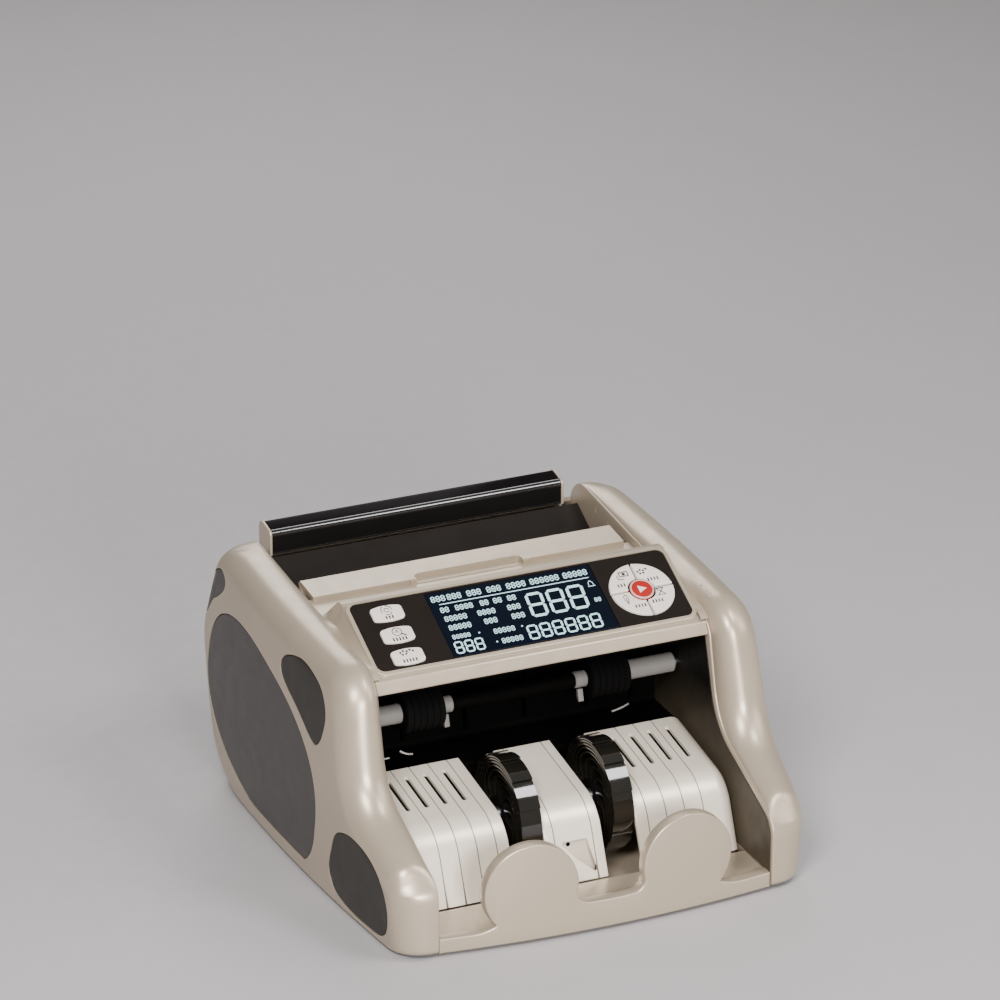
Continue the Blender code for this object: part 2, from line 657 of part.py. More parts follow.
def build_electrics(board, steel):
    """The main board across the back, and the transformer beside the motor."""
    make("main_board", shape(block, (-40, 119, 12), (100, 120.6, 82)), board)
    make("power_transformer", shape(block, (30, 58, 5.4), (92, 108, 48)), steel)


# ---- control panel ----
def panel_frame():
    """An empty in the panel's plane: its Y runs up the slope and its Z stands out of it."""
    frame = bpy.data.objects.new("panel_frame", None)
    frame.location = Vector(PANEL_AT) * MM
    frame.rotation_euler = (math.radians(PANEL_TILT), 0, 0)
    bpy.context.scene.collection.objects.link(frame)
    return frame


def in_panel(v, n):
    """World (y, z) of a point v up the panel and n out of it."""
    tilt = math.radians(PANEL_TILT)
    return (PANEL_AT[1] + v * math.cos(tilt) - n * math.sin(tilt),
            PANEL_AT[2] + v * math.sin(tilt) + n * math.cos(tilt))


def build_hood(shell):
    """The wedge between the cheeks that holds the panel; open below."""
    rim = 0.4
    corners = [(-61.6, 132.8, 0), (*in_panel(-6, rim), 3), (*in_panel(58, rim), 1.5), (6, 168.2, 2),
               (27, 150.6, 1), (27, 134.5, 0)]
    hood = make("display_hood", shape(prism, rounded(corners, steps=3), -INSIDE, INSIDE), shell)
    cavity = moved_in(corners, [WALL, 4.7, WALL, WALL, WALL, -20])
    combine(hood, shape(prism, rounded(cavity, steps=3), -INSIDE + WALL, INSIDE - WALL))
    pocket = [(-FASCIA_HALF - 0.4, -0.4), (FASCIA_HALF + 0.4, PANEL_DEPTH + 0.4)]
    window = [(-101, 1.2), (101, PANEL_DEPTH - 2)]
    for (low, high), depth in ((pocket, -FASCIA_THICK - GAP), (window, -20)):
        bm = shape(prism, rectangle(low, high), depth, 6, axis="z")
        matrix = Matrix.Rotation(math.radians(PANEL_TILT), 4, "X")
        matrix.translation = Vector(PANEL_AT)
        bm.transform(matrix)
        combine(hood, bm)


def pad_sector(index, grow=0.0):
    """One quarter of the round pad, clear of its neighbours and of the start button."""
    split = PAD_SPLIT - grow
    points = []
    for radius, order in ((PAD_INNER - grow, 1), (PAD_RADIUS + grow, -1)):
        edge = math.asin(split / radius)
        arc = [edge + (math.pi / 2 - 2 * edge) * k / 7 for k in range(8)]
        points += [(radius, angle) for angle in arc[::order]]
    turn = index * math.pi / 2
    return [Vector((PAD_AT[0] + r * math.cos(a + turn), PAD_AT[1] + r * math.sin(a + turn)))
            for r, a in points]


def key_outline(row, grow=0.0):
    half = (FUNCTION_KEY[0] / 2 + grow, FUNCTION_KEY[1] / 2 + grow)
    x, v = FUNCTION_KEY_X, FUNCTION_KEY_ROWS[row]
    return rounded([(x - half[0], v - half[1], 4), (x - half[0], v + half[1], 4),
                    (x + half[0], v + half[1], 4), (x + half[0], v - half[1], 4)], steps=3)


def build_key(name, outline, frame, material):
    """A key's cap, and the stem that reaches down to its switch; its origin is in the panel's plane."""
    centre = sum(outline, Vector((0, 0))) / len(outline)
    local = [p - centre for p in outline]
    key = make(name, shape(prism, local, -1.6, KEY_PROUD, axis="z"), material,
               at=(*centre, 0), parent=frame)
    combine(key, shape(prism, circle((0, 0), 2.2, 12), -5.4, -1.0, axis="z"), "UNION")


def build_panel(black, white, red, glass, board):
    """The fascia, the display behind its window, and the eight keys."""
    frame = panel_frame()
    corners = [(-FASCIA_HALF, 0, 5), (-FASCIA_HALF, PANEL_DEPTH, 5), (FASCIA_HALF, PANEL_DEPTH, 5),
               (FASCIA_HALF, 0, 5)]
    fascia = make("control_fascia", shape(prism, rounded(corners, steps=3), -FASCIA_THICK, 0, axis="z"),
                  black, parent=frame)
    clear = 0.35
    openings = [rectangle((-LCD_HALF - clear, LCD_SPAN[0] - clear), (LCD_HALF + clear, LCD_SPAN[1] + clear)),
                circle(PAD_AT, PAD_RADIUS + 0.5, 36)]
    openings += [key_outline(row, 0.4) for row in FUNCTION_KEY_ROWS]
    for outline in openings:
        combine(fascia, shape(prism, outline, -4, 4, axis="z"))
    make("lcd_window", shape(prism, rectangle((-LCD_HALF, LCD_SPAN[0]), (LCD_HALF, LCD_SPAN[1])),
                             -FASCIA_THICK, -0.2, axis="z"), glass, parent=frame)
    module = make("display_module", shape(block, (-98, 4, -8.8), (99, 50.4, -7.2)), board, parent=frame)
    combine(module, shape(block, (-LCD_HALF, 3.6, -8), (LCD_HALF, 50.8, -1.9)), "UNION")
    for row in FUNCTION_KEY_ROWS:
        build_key(f"function_key_{row}", key_outline(row), frame, white)
    for index, name in enumerate(("upper_right", "upper_left", "lower_left", "lower_right")):
        build_key(f"pad_key_{name}", pad_sector(index), frame, white)
    build_key("start_button", circle(PAD_AT, START_RADIUS), frame, red)


def clear_scene():
    for obj in list(bpy.data.objects):
        bpy.data.objects.remove(obj)


def main():
    clear_scene()
    shell = finish("shell_plastic", (0.62, 0.58, 0.51), 0.42)
    grey = finish("inlay_plastic", (0.09, 0.085, 0.075), 0.6)
    plate = finish("stacker_plastic", (0.66, 0.62, 0.55), 0.35, 0.25)
    matt_black = finish("matt_black_plastic", (0.02, 0.018, 0.015), 0.55)
    gloss_black = finish("gloss_black_plastic", (0.012, 0.012, 0.013), 0.08)
    fascia_black = finish("fascia_film", (0.03, 0.022, 0.018), 0.35)
    white = finish("key_plastic", (0.85, 0.84, 0.82), 0.4)
    red = finish("start_key_plastic", (0.6, 0.05, 0.06), 0.35)
    glass = finish("display_glass", (0.01, 0.015, 0.02), 0.05)
    steel = finish("steel", (0.55, 0.55, 0.56), 0.35, 1.0)
    rubber = finish("black_rubber", (0.02, 0.02, 0.02), 0.8)
    board = finish("circuit_board", (0.02, 0.12, 0.06), 0.5)

    build_sides(shell, grey)
    build_base(shell, rubber)
    build_stopper(shell)
    rear = build_rear(shell)
    build_mains(rear, matt_black)
    build_hopper(shell, matt_black, gloss_black)
    build_stacker(plate)
    build_liner(matt_black)
    build_impellers(gloss_black, steel)
    build_transport(matt_black, steel, rubber)
    build_feed(matt_black, steel, rubber)
    build_motor(matt_black, steel)
    build_belt("timing_belt", [(TRANSPORT_AT, TIMING_R["transport"]), (FEED_AT, TIMING_R["feed"]),
                               (IMPELLER_AT, TIMING_R["impeller"])], TIMING_PLANE, rubber)
    build_belt("motor_belt", [(TRANSPORT_AT, MOTOR_BELT_R["transport"]),
                              (MOTOR_AT, MOTOR_BELT_R["motor"])], MOTOR_PLANE, rubber)
    build_frames(steel)
    build_electrics(board, steel)
    build_hood(shell)
    build_panel(fascia_black, white, red, glass, board)


main()
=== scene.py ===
"""The looks of the banknote counting machine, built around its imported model.

Frame: +X right, +Y to the back, +Z up; lengths are millimetres until MM turns them into metres.
Every mesh is made in place, in the machine's own frame, and then rides on its body.
"""

import math

import bmesh
import bpy
from mathutils import Matrix, Vector
from mathutils.bvhtree import BVHTree


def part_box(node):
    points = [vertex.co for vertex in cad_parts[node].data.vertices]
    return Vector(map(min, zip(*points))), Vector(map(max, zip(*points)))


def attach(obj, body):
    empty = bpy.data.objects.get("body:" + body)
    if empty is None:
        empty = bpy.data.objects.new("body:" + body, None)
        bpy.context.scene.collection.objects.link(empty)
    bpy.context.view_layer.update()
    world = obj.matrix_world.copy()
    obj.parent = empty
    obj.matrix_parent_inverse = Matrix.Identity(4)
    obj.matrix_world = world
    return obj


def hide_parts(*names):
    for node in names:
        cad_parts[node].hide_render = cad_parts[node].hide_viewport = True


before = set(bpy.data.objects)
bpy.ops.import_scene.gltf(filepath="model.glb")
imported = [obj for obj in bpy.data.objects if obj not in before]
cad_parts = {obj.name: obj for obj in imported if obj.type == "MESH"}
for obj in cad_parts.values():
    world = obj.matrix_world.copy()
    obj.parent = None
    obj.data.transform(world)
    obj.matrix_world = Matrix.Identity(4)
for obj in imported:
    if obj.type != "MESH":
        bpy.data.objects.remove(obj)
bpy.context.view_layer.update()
MM = 0.001
SIDES = (("left", -1), ("right", 1))

# ---- driving dimensions, in the solid model's frame ----
HALF_WIDTH = 145.0
BAY_HALF = 110.0
INSIDE = BAY_HALF - 0.5
COVER_BOTTOM = 3.0
WALL = 3.0
SHOULDER = 16.0
# A cheek's outline as (y, z, corner radius), at the bay and at the crown of its shoulder.
RIM_AT_BAY = [(-153.5, COVER_BOTTOM, 4), (-153.5, 47, 15), (-74.5, 79, 42), (-59, 144, 18),
              (137, 160.5, 22), (161.8, 98, 40), (140, COVER_BOTTOM, 12)]
RIM_AT_CROWN = [(-147, COVER_BOTTOM, 5), (-149, 54, 20), (-91.5, 79, 40), (-71, 154, 28),
                (136, 161, 30), (158, 98, 45), (138, COVER_BOTTOM, 58)]
RUNS = [4, 8, 7, 20, 4, 10, 24]  # how many pieces each straight of it is divided into
SIDE_CENTRE = (15.0, 75.0)
SIDE_HIGH_POINT = (20.0, 70.0)  # where a side stands furthest out
SIDE_FALL = (6.0, 4.0)  # how much it falls away towards its ends, and towards its top and bottom
ROUNDNESS = 2.3  # power of the curve that turns the front and the back of a cheek into its side
RIM_EDGE = 1.0  # radius of the rim's edge along the bay
HOLLOW_CORNER = 1.7  # the hollow's rear corner is this much rounder, which keeps the wall whole there
SWEEP_STEPS = 12
SHOULDER_STEPS = 10
SIDE_STEPS = 9

PANEL_AT = (0.0, -52.0, 144.0)
PANEL_TILT = math.radians(25.8)
PANEL_DEPTH = 54.3
FASCIA_HALF = 104.5
HOOD_REAR = 27
HOOD_REAR_TOP = 150.6
LCD_HALF = 55.0
LCD_SPAN = (1.2, 52.8)
KEY_PROUD = 1.3
PRINTED = (KEY_PROUD - 0.1, KEY_PROUD + 0.04)  # from inside a key's crown to just above it
MARK_SCALE = 1.2
MARKS_RADIUS = 14.6  # from the pad's middle to the spot of each mark
FUNCTION_KEY = (20.5, 12.4)
FUNCTION_KEY_X = -82.8
FUNCTION_KEY_ROWS = {"top": 43.1, "middle": 25.6, "bottom": 8.1}
PAD_AT = Vector((79.7, 25.8))
PAD_RADIUS = 20.5
PAD_INNER = 8.8
PAD_SPLIT = 0.75
START_RADIUS = 7.6

TRANSPORT_AT = (-13.0, 95.0)
FEED_AT = (84.0, 104.0)
IMPELLER_AT = (-66.0, 43.0)
SHAFT_R = 4.0
BORE = SHAFT_R + 0.3
SLEEVES = (("short", 41, 49, 5.2), ("long", 75.1, 108, 6.2))  # from, to and radius, on each side
GRIP_ROLLER = (49.4, 74.9, 13.0)
FEED_ROLLER = (24, 44, 15.0)
VANE_ROOT = 10.6
VANE_TIP = 36.0
VANE_RISE = 0.33  # a small power: a vane leaves the hub quickly and then follows the wheel's rim
IMPELLER_X = {"left": -26.3, "right": 34.9}
IMPELLER_WIDTH = 13.5
VANES = 12
VANE_SWEEP = 3.24  # how far round a vane winds from its root to its tip, in radians

STACKER_PROFILE = [(-27, 64.5, 0), (-97, 53.5, 28), (-114.3, 11.5, 0)]
STACKER_PLATES = (("left", 42.0, 108.8), ("center", -19.0, 19.0), ("right", 42.0, 108.8))
STACKER_ROLL = 9.0
SLOT_X = (56.5, 69.0, 81.3, 93.6)
LINE_X = (50.2, 62.8, 75.2, 87.5)
STOPPER_LOBE = (51.5, 36.0, 30.0)
FRONT_BOW = 7.0
STOPPER_MIDDLE = -155.5
STOPPER_DEPTH = (-4.5, 4.0)
TRAY_MIDDLE = -155.0
TRAY_TOP = 11.2
REAR_FOOT = 139.4
INLET_AT = (78, 36)
SWITCH_AT = (38, 36)
REAR_TILT = math.atan2(161.8 - 140, 98 - COVER_BOTTOM)

OVAL = {"at": (47.5, 66), "half": (91, 56.5), "tilt": 14, "power": 2.5, "floor": 12.5}
# The smaller inlays, as smooth closed curves through these (y, z) points.
LEAVES = {
    "upper_front": [(6, 138), (-12, 143.5), (-30, 142.5), (-46, 137), (-54, 124), (-51, 109), (-44, 100.5),
                    (-35, 101), (-15, 111.5), (8, 122), (13, 130)],
    "lower_front": [(-70, 51), (-80, 57), (-95, 59.5), (-112, 56), (-127, 47), (-135, 32), (-133, 16),
                    (-123, 7.5), (-104, 6), (-82, 6.5), (-64, 11), (-58, 23), (-63, 38)],
    "upper_rear": [(130, 143.5), (121, 146.5), (113, 143), (114, 136.5), (123, 129), (131, 124), (137, 116.5),
                   (143, 110), (146.5, 115), (144, 126), (138.5, 136)],
}
RECESS_DEPTH = 1.8
INLAY_SINK = 0.25  # how far an inlay's face lies below the skin round it


# ---- outlines ----
def polar(radius, angle):
    return radius * Vector((math.cos(angle), math.sin(angle)))


def rounded(corners, steps=10, runs=None):
    """The polygon of these (a, b, radius) corners with an arc at each; runs divides the straights."""
    arcs = []
    count = len(corners)
    for i in range(count):
        here = Vector(corners[i][:2])
        radius = corners[i][2]
        if not radius:
            arcs.append([here])
            continue
        back = (Vector(corners[i - 1][:2]) - here).normalized()
        on = (Vector(corners[(i + 1) % count][:2]) - here).normalized()
        half = math.acos(max(-1.0, min(1.0, back.dot(on)))) / 2
        middle = here + (back + on).normalized() * radius / math.sin(half)
        first = here + back * radius / math.tan(half) - middle
        last = here + on * radius / math.tan(half) - middle
        start = math.atan2(first.y, first.x)
        turn = (math.atan2(last.y, last.x) - start + math.pi) % (2 * math.pi) - math.pi
        arcs.append([middle + polar(radius, start + turn * k / steps) for k in range(steps + 1)])
    outline = []
    for i, arc in enumerate(arcs):
        outline += arc
        if runs:
            after = arcs[(i + 1) % count][0]
            outline += [arc[-1].lerp(after, k / runs[i]) for k in range(1, runs[i])]
    return outline


def moved_in(corners, distances):
    """The same corners with each edge moved inwards; the corners go clockwise."""
    count = len(corners)
    lines = []
    for i in range(count):
        here = Vector(corners[i][:2])
        along = (Vector(corners[(i + 1) % count][:2]) - here).normalized()
        lines.append((here + Vector((along.y, -along.x)) * distances[i], along))
    result = []
    for i in range(count):
        (p, d), (q, e) = lines[i - 1], lines[i]
        cross = d.x * e.y - d.y * e.x
        t = ((q.x - p.x) * e.y - (q.y - p.y) * e.x) / cross
        radius = corners[i][2] + math.copysign(min(distances[i - 1], distances[i]), cross)
        result.append((p.x + d.x * t, p.y + d.y * t, max(radius, 0.8) if corners[i][2] else 0))
    return result


def is_clockwise(points):
    return sum(a[0] * b[1] - a[1] * b[0] for a, b in zip(points, points[1:] + points[:1])) < 0


def normals_of(points):
    """The outward direction at each point of a closed outline."""
    turn = 1 if is_clockwise(points) else -1
    result = []
    for i in range(len(points)):
        along = (points[(i + 1) % len(points)] - points[i - 1]).normalized()
        result.append(Vector((-along.y, along.x)) * turn)
    return result


def inset(points, distance):
    """The outline moved inwards by a small distance, point by point."""
    return [p - n * distance for p, n in zip(points, normals_of(points))]


def middle_of(points):
    return sum(points, Vector((0, 0))) / len(points)


def smooth_loop(points, steps=10):
    """A smooth closed curve through the points."""
    points = [Vector(p) for p in points]
    count = len(points)
    curve = []
    for i in range(count):
        a, b, c, d = (points[(i + k) % count] for k in (-1, 0, 1, 2))
        for k in range(steps):
            t = k / steps
            curve.append(0.5 * (2 * b + (c - a) * t + (2 * a - 5 * b + 4 * c - d) * t ** 2
                                + (3 * b - a - 3 * c + d) * t ** 3))
    return curve


def circle(at, radius, count=48):
    turn = 2 * math.pi / count
    return [Vector((at[0] + radius * math.cos(turn * k), at[1] + radius * math.sin(turn * k)))
            for k in range(count)]


def box_outline(low, high, radius=0.0, steps=6):
    corners = [(low[0], low[1], radius), (low[0], high[1], radius),
               (high[0], high[1], radius), (high[0], low[1], radius)]
    return rounded(corners, steps)


def sheet(path, thickness):
    """A closed outline: the path, and the path moved to its right by thickness."""
    points = [Vector(p) for p in path]
    other = []
    for i, p in enumerate(points):
        normals = []
        for a, b in ((i - 1, i), (i, i + 1)):
            if a >= 0 and b < len(points):
                along = (points[b] - points[a]).normalized()
                normals.append(Vector((along.y, -along.x)))
        mitre = sum(normals, Vector((0, 0))).normalized()
        other.append(p + mitre * thickness / mitre.dot(normals[0]))
    return points + other[::-1]


# ---- meshes ----
def on_axis(axis, a, b, t):
    return {"x": (t, a, b), "y": (a, t, b), "z": (a, b, t)}[axis]


def loft(bm, rings, close_ends=True):
    """Faces between successive rings of points, with a face over each end."""
    made = [[bm.verts.new(p) for p in ring] for ring in rings]
    count = len(made[0])
    for low, high in zip(made, made[1:]):
        for i in range(count):
            j = (i + 1) % count
            bm.faces.new((low[i], low[j], high[j], high[i]))
    if close_ends:
        bm.faces.new(made[0][::-1])
        bm.faces.new(made[-1])
    return made


def join_ends(bm, made):
    """Faces from the last ring of a loft back to its first."""
    last, first = made[-1], made[0]
    for i in range(len(first)):
        j = (i + 1) % len(first)
        bm.faces.new((last[i], last[j], first[j], first[i]))


def fan(bm, ring, tip):
    """Faces from a ring to one point."""
    top = bm.verts.new(tip)
    for a, b in zip(ring, ring[1:] + ring[:1]):
        bm.faces.new((a, b, top))


def prism(bm, outline, low, high, axis="x", edge=0.0):
    """An extruded outline; with an edge, its end faces are rounded over by that radius."""
    levels = [(low, 0.0), (high, 0.0)]
    if edge:
        arc = [(edge * (1 - math.sin(a)), edge * (1 - math.cos(a)))
               for a in (0, math.pi / 6, math.pi / 3, math.pi / 2)]
        levels = [(low + up, inward) for inward, up in arc]
        levels += [(high - up, inward) for inward, up in reversed(arc)]
    rings = [[on_axis(axis, p[0], p[1], t) for p in (inset(outline, d) if d > 1e-6 else outline)]
             for t, d in levels]
    loft(bm, rings)


def block(bm, low, high):
    prism(bm, box_outline(low[1:], high[1:]), low[0], high[0])


def turned(bm, profile, count=64, bore=0.0):
    """A body turned about X from (x, radius) pairs; a bore leaves a hole through it."""
    profile = [(profile[0][0], bore)] * bool(bore) + list(profile) + [(profile[-1][0], bore)] * bool(bore)
    rings = [[(x, *p) for p in circle((0, 0), r, count)] for x, r in profile]
    made = loft(bm, rings, close_ends=not bore)
    if bore:
        join_ends(bm, made)


def ribbon(bm, points, width, low, high, closed=False):
    """A flat stroke of some width along a line of points, standing from low to high."""
    points = [Vector(p) for p in points]
    if closed:
        centre = middle_of(points)
        sizes = [(p - centre).length for p in points]
        outer = [centre + (p - centre) * (1 + width / 2 / s) for p, s in zip(points, sizes)]
        inner = [centre + (p - centre) * (1 - width / 2 / s) for p, s in zip(points, sizes)]
        rings = [[(*p, low) for p in outer], [(*p, high) for p in outer],
                 [(*p, high) for p in inner], [(*p, low) for p in inner]]
        join_ends(bm, loft(bm, rings, close_ends=False))
        return
    side = sheet(points, width / 2)[len(points):][::-1]
    other = [2 * p - q for p, q in zip(points, side)]
    prism(bm, side + other[::-1], low, high, axis="z")


def shape(fill, *arguments, **named):
    bm = bmesh.new()
    fill(bm, *arguments, **named)
    return bm


def join(bm, other, matrix):
    """Adds another mesh, moved, to this one."""
    other.transform(matrix)
    mesh = bpy.data.meshes.new("joined")
    other.to_mesh(mesh)
    other.free()
    bm.from_mesh(mesh)
    bpy.data.meshes.remove(mesh)


def slab(*arguments, **named):
    """An extruded outline on its own; the arguments are prism's."""
    return shape(prism, *arguments, **named)


def panel_matrix():
    """From the control panel's plane (x, up the slope, out of it) to the machine, in millimetres."""
    return Matrix.Translation(Vector(PANEL_AT)) @ Matrix.Rotation(PANEL_TILT, 4, "X")


def rear_matrix(x, z):
    """From a place on the rear wall (to the left as seen, up it, out of it) to the machine."""
    up = Vector((0, math.sin(REAR_TILT), math.cos(REAR_TILT)))
    out = Vector((0, math.cos(REAR_TILT), -math.sin(REAR_TILT)))
    matrix = Matrix((Vector((-1, 0, 0)), up, out)).transposed().to_4x4()
    y = REAR_FOOT + (z - COVER_BOTTOM) * math.tan(REAR_TILT)
    matrix.translation = Vector((x, y, z))
    return matrix


def at(x=0.0, y=0.0, z=0.0):
    return Matrix.Translation(Vector((x, y, z)))


def new_object(name, bm, material, matrix=None):
    """The mesh as an object at the frame's origin, in metres."""
    bmesh.ops.recalc_face_normals(bm, faces=bm.faces)
    mesh = bpy.data.meshes.new(name)
    bm.to_mesh(mesh)
    bm.free()
    if matrix is not None:
        mesh.transform(matrix)
    mesh.transform(Matrix.Scale(MM, 4))
    mesh.materials.append(material)
    obj = bpy.data.objects.new(name, mesh)
    bpy.context.scene.collection.objects.link(obj)
    return obj


def applied(obj):
    """The object with its modifiers made part of its mesh."""
    graph = bpy.context.evaluated_depsgraph_get()
    mesh = bpy.data.meshes.new_from_object(obj.evaluated_get(graph))
    obj.modifiers.clear()
    obj.data = mesh
    return obj


def cut(obj, bm, matrix=None, operation="DIFFERENCE", solver="MANIFOLD"):
    """Cuts the mesh from the object, or unites it with it."""
    tool = new_object("tool", bm, obj.data.materials[0], matrix)
    modifier = obj.modifiers.new("boolean", "BOOLEAN")
    modifier.operation = operation
    modifier.solver = solver
    modifier.object = tool
    applied(obj)
    bpy.data.objects.remove(tool)
    return obj


def round_edges(obj, width, segments, sharp):
    bevel = obj.modifiers.new("edges", "BEVEL")
    bevel.width = width * MM
    bevel.segments = segments
    bevel.limit_method = "ANGLE"
    bevel.angle_limit = math.radians(sharp)
    return bevel


def settle(obj, body="housing", replaces=(), slot=None, edge=0.0, sharp=34, segments=2):
    """Shades the piece, rounds its sharp edges, and puts it on its body."""
    obj.data.shade_smooth()
    obj.data.set_sharp_from_angle(angle=math.radians(sharp))
    if edge:
        round_edges(obj, edge, segments, sharp).harden_normals = True
    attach(obj, body)
    if replaces:
        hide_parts(*([replaces] if isinstance(replaces, str) else replaces))
    return obj


def piece(name, bm, material, matrix=None, **settled):
    """A finished piece in one step."""
    return settle(new_object(name, bm, material, matrix), **settled)


def ends(sign, near, far):
    """The lower and the upper x of something that lies from near to far on one side."""
    return sorted((sign * near, sign * far))


# ---- materials ----
def add(tree, kind, **values):
    node = tree.nodes.new(kind)
    for name, value in values.items():
        if name in node.inputs:
            node.inputs[name].default_value = value
        else:
            setattr(node, name, value)
    return node


def noise(tree, scale, detail=2.0, stretch=(1, 1, 1)):
    """Noise over the piece itself, at this many features to the metre."""
    place = add(tree, "ShaderNodeTexCoord")
    mapping = add(tree, "ShaderNodeMapping")
    mapping.inputs["Scale"].default_value = stretch
    texture = add(tree, "ShaderNodeTexNoise", Scale=scale, Detail=detail)
    tree.links.new(place.outputs["Object"], mapping.inputs["Vector"])
    tree.links.new(mapping.outputs["Vector"], texture.inputs["Vector"])
    return texture.outputs["Fac"]


def span(tree, source, low, high, from_low=0.3, from_high=0.7):
    node = add(tree, "ShaderNodeMapRange")
    for socket, value in zip(("From Min", "From Max", "To Min", "To Max"), (from_low, from_high, low, high)):
        node.inputs[socket].default_value = value
    tree.links.new(source, node.inputs["Value"])
    return node.outputs["Result"]


def mixed(tree, factor, first, second):
    node = add(tree, "ShaderNodeMix", data_type="RGBA")
    tree.links.new(factor, node.inputs["Factor"])
    for socket, value in ((node.inputs[6], first), (node.inputs[7], second)):
        if isinstance(value, bpy.types.NodeSocket):
            tree.links.new(value, socket)
        else:
            socket.default_value = (*value, 1)
    return node.outputs[2]


def plastic(name, colour, roughness, metallic=0.0, mottle=0.05, spread=0.06, grain=1400.0,
            depth=0.02, wear=0.0, coat=0.0, coat_roughness=0.1, stretch=(1, 1, 1), specular=0.5):
    """Moulded plastic, paint, rubber or metal: mottled colour, uneven gloss, fine grain, worn edges."""
    material = bpy.data.materials.new(name)
    material.use_nodes = True
    tree = material.node_tree
    shader = tree.nodes["Principled BSDF"]
    sockets = {"Metallic": metallic, "Coat Weight": coat, "Coat Roughness": coat_roughness,
               "Specular IOR Level": specular}
    for socket, value in sockets.items():
        shader.inputs[socket].default_value = value
    dark = [c * (1 - mottle) for c in colour]
    light = [min(1.0, c * (1 + mottle)) for c in colour]
    tint = mixed(tree, span(tree, noise(tree, 28, 4, stretch), 0, 1), dark, light)
    tint = mixed(tree, span(tree, noise(tree, grain * 0.6, 1, stretch), 0, mottle * 2), tint, light)
    if wear:
        edges = add(tree, "ShaderNodeNewGeometry").outputs["Pointiness"]
        rubbed = span(tree, edges, 0, wear, 0.51, 0.58)
        pale = [min(1.0, c * 1.25 + 0.03) for c in colour]
        tint = mixed(tree, rubbed, tint, pale)
    tree.links.new(tint, shader.inputs["Base Color"])
    rough = span(tree, noise(tree, 90, 5, stretch), max(0.02, roughness - spread), roughness + spread)
    tree.links.new(rough, shader.inputs["Roughness"])
    bump = add(tree, "ShaderNodeBump", Strength=depth * 10, Distance=0.0002)
    tree.links.new(noise(tree, grain, 2, stretch), bump.inputs["Height"])
    tree.links.new(bump.outputs["Normal"], shader.inputs["Normal"])
    return material


def shade_with_height(material, low, high, dark):
    """Fades the material's colour to a darker one between two heights: painted shade."""
    tree = material.node_tree
    shader = tree.nodes["Principled BSDF"]
    tint = shader.inputs["Base Color"].links[0].from_socket
    place = add(tree, "ShaderNodeTexCoord")
    split = add(tree, "ShaderNodeSeparateXYZ")
    tree.links.new(place.outputs["Object"], split.inputs["Vector"])
    share = span(tree, split.outputs["Z"], 0, 1, low * MM, high * MM)
    tree.links.new(mixed(tree, share, tint, dark), shader.inputs["Base Color"])


def glowing(name, colour, strength):
    """A lit display segment, a little uneven over its length."""
    material = plastic(name, [c * 0.5 for c in colour], 0.4, mottle=0.1)
    tree = material.node_tree
    shader = tree.nodes["Principled BSDF"]
    bright = mixed(tree, span(tree, noise(tree, 60, 2), 0, 1), [c * 0.86 for c in colour], colour)
    tree.links.new(bright, shader.inputs["Emission Color"])
    shader.inputs["Emission Strength"].default_value = strength
    return material


def circuit_board(name):
    """Green board with lighter copper tracks under its lacquer."""
    material = plastic(name, (0.012, 0.10, 0.05), 0.35, mottle=0.1, coat=0.5)
    tree = material.node_tree
    shader = tree.nodes["Principled BSDF"]
    place = add(tree, "ShaderNodeTexCoord")
    tracks = add(tree, "ShaderNodeTexBrick", Scale=160.0, Color1=(0.010, 0.085, 0.045, 1),
                 Color2=(0.014, 0.11, 0.055, 1), Mortar=(0.05, 0.22, 0.10, 1))
    tracks.inputs["Mortar Size"].default_value = 0.03
    tree.links.new(place.outputs["Object"], tracks.inputs["Vector"])
    tree.links.new(tracks.outputs["Color"], shader.inputs["Base Color"])
    return material


SHELL = plastic("shell_paint", (0.455, 0.372, 0.280), 0.34, metallic=0.40, mottle=0.02, spread=0.04,
                grain=2200.0, depth=0.008, wear=0.2, coat=0.12, coat_roughness=0.25)
INLAY = plastic("inlay_plastic", (0.046, 0.040, 0.037), 0.40, mottle=0.015, spread=0.03,
                grain=1800.0, depth=0.012, specular=0.4)
INLAY_DARK = plastic("inlay_plastic_dark", (0.022, 0.018, 0.014), 0.42, mottle=0.02, spread=0.03,
                     grain=1800.0, depth=0.012, specular=0.3)
# Painted shade for the cheeks' inner walls in the bay: a dark sheet, darker still from 50 mm up to 100 mm
# high and above.
BAY_WALL_PAINTED_SHADE = plastic("bay_wall_painted_shade", (0.050, 0.039, 0.025), 0.55, grain=1500.0, depth=0.01, specular=0.2)
shade_with_height(BAY_WALL_PAINTED_SHADE, 50, 100, (0.002, 0.0015, 0.001))
STACKER = plastic("stacker_paint", (0.86, 0.76, 0.63), 0.34, metallic=0.30, mottle=0.0, spread=0.02,
                  grain=500.0, depth=0.001, coat=0.15, coat_roughness=0.25)
# Painted shade in the stacker plates' grooves: dark strips along their floors.
STACKER_GROOVE_SHADE = plastic("stacker_groove_shade", (0.15, 0.125, 0.10), 0.6, specular=0.1)
MATT_BLACK = plastic("matt_black_plastic", (0.010, 0.007, 0.005), 0.55, mottle=0.15, grain=1500.0,
                     specular=0.3)
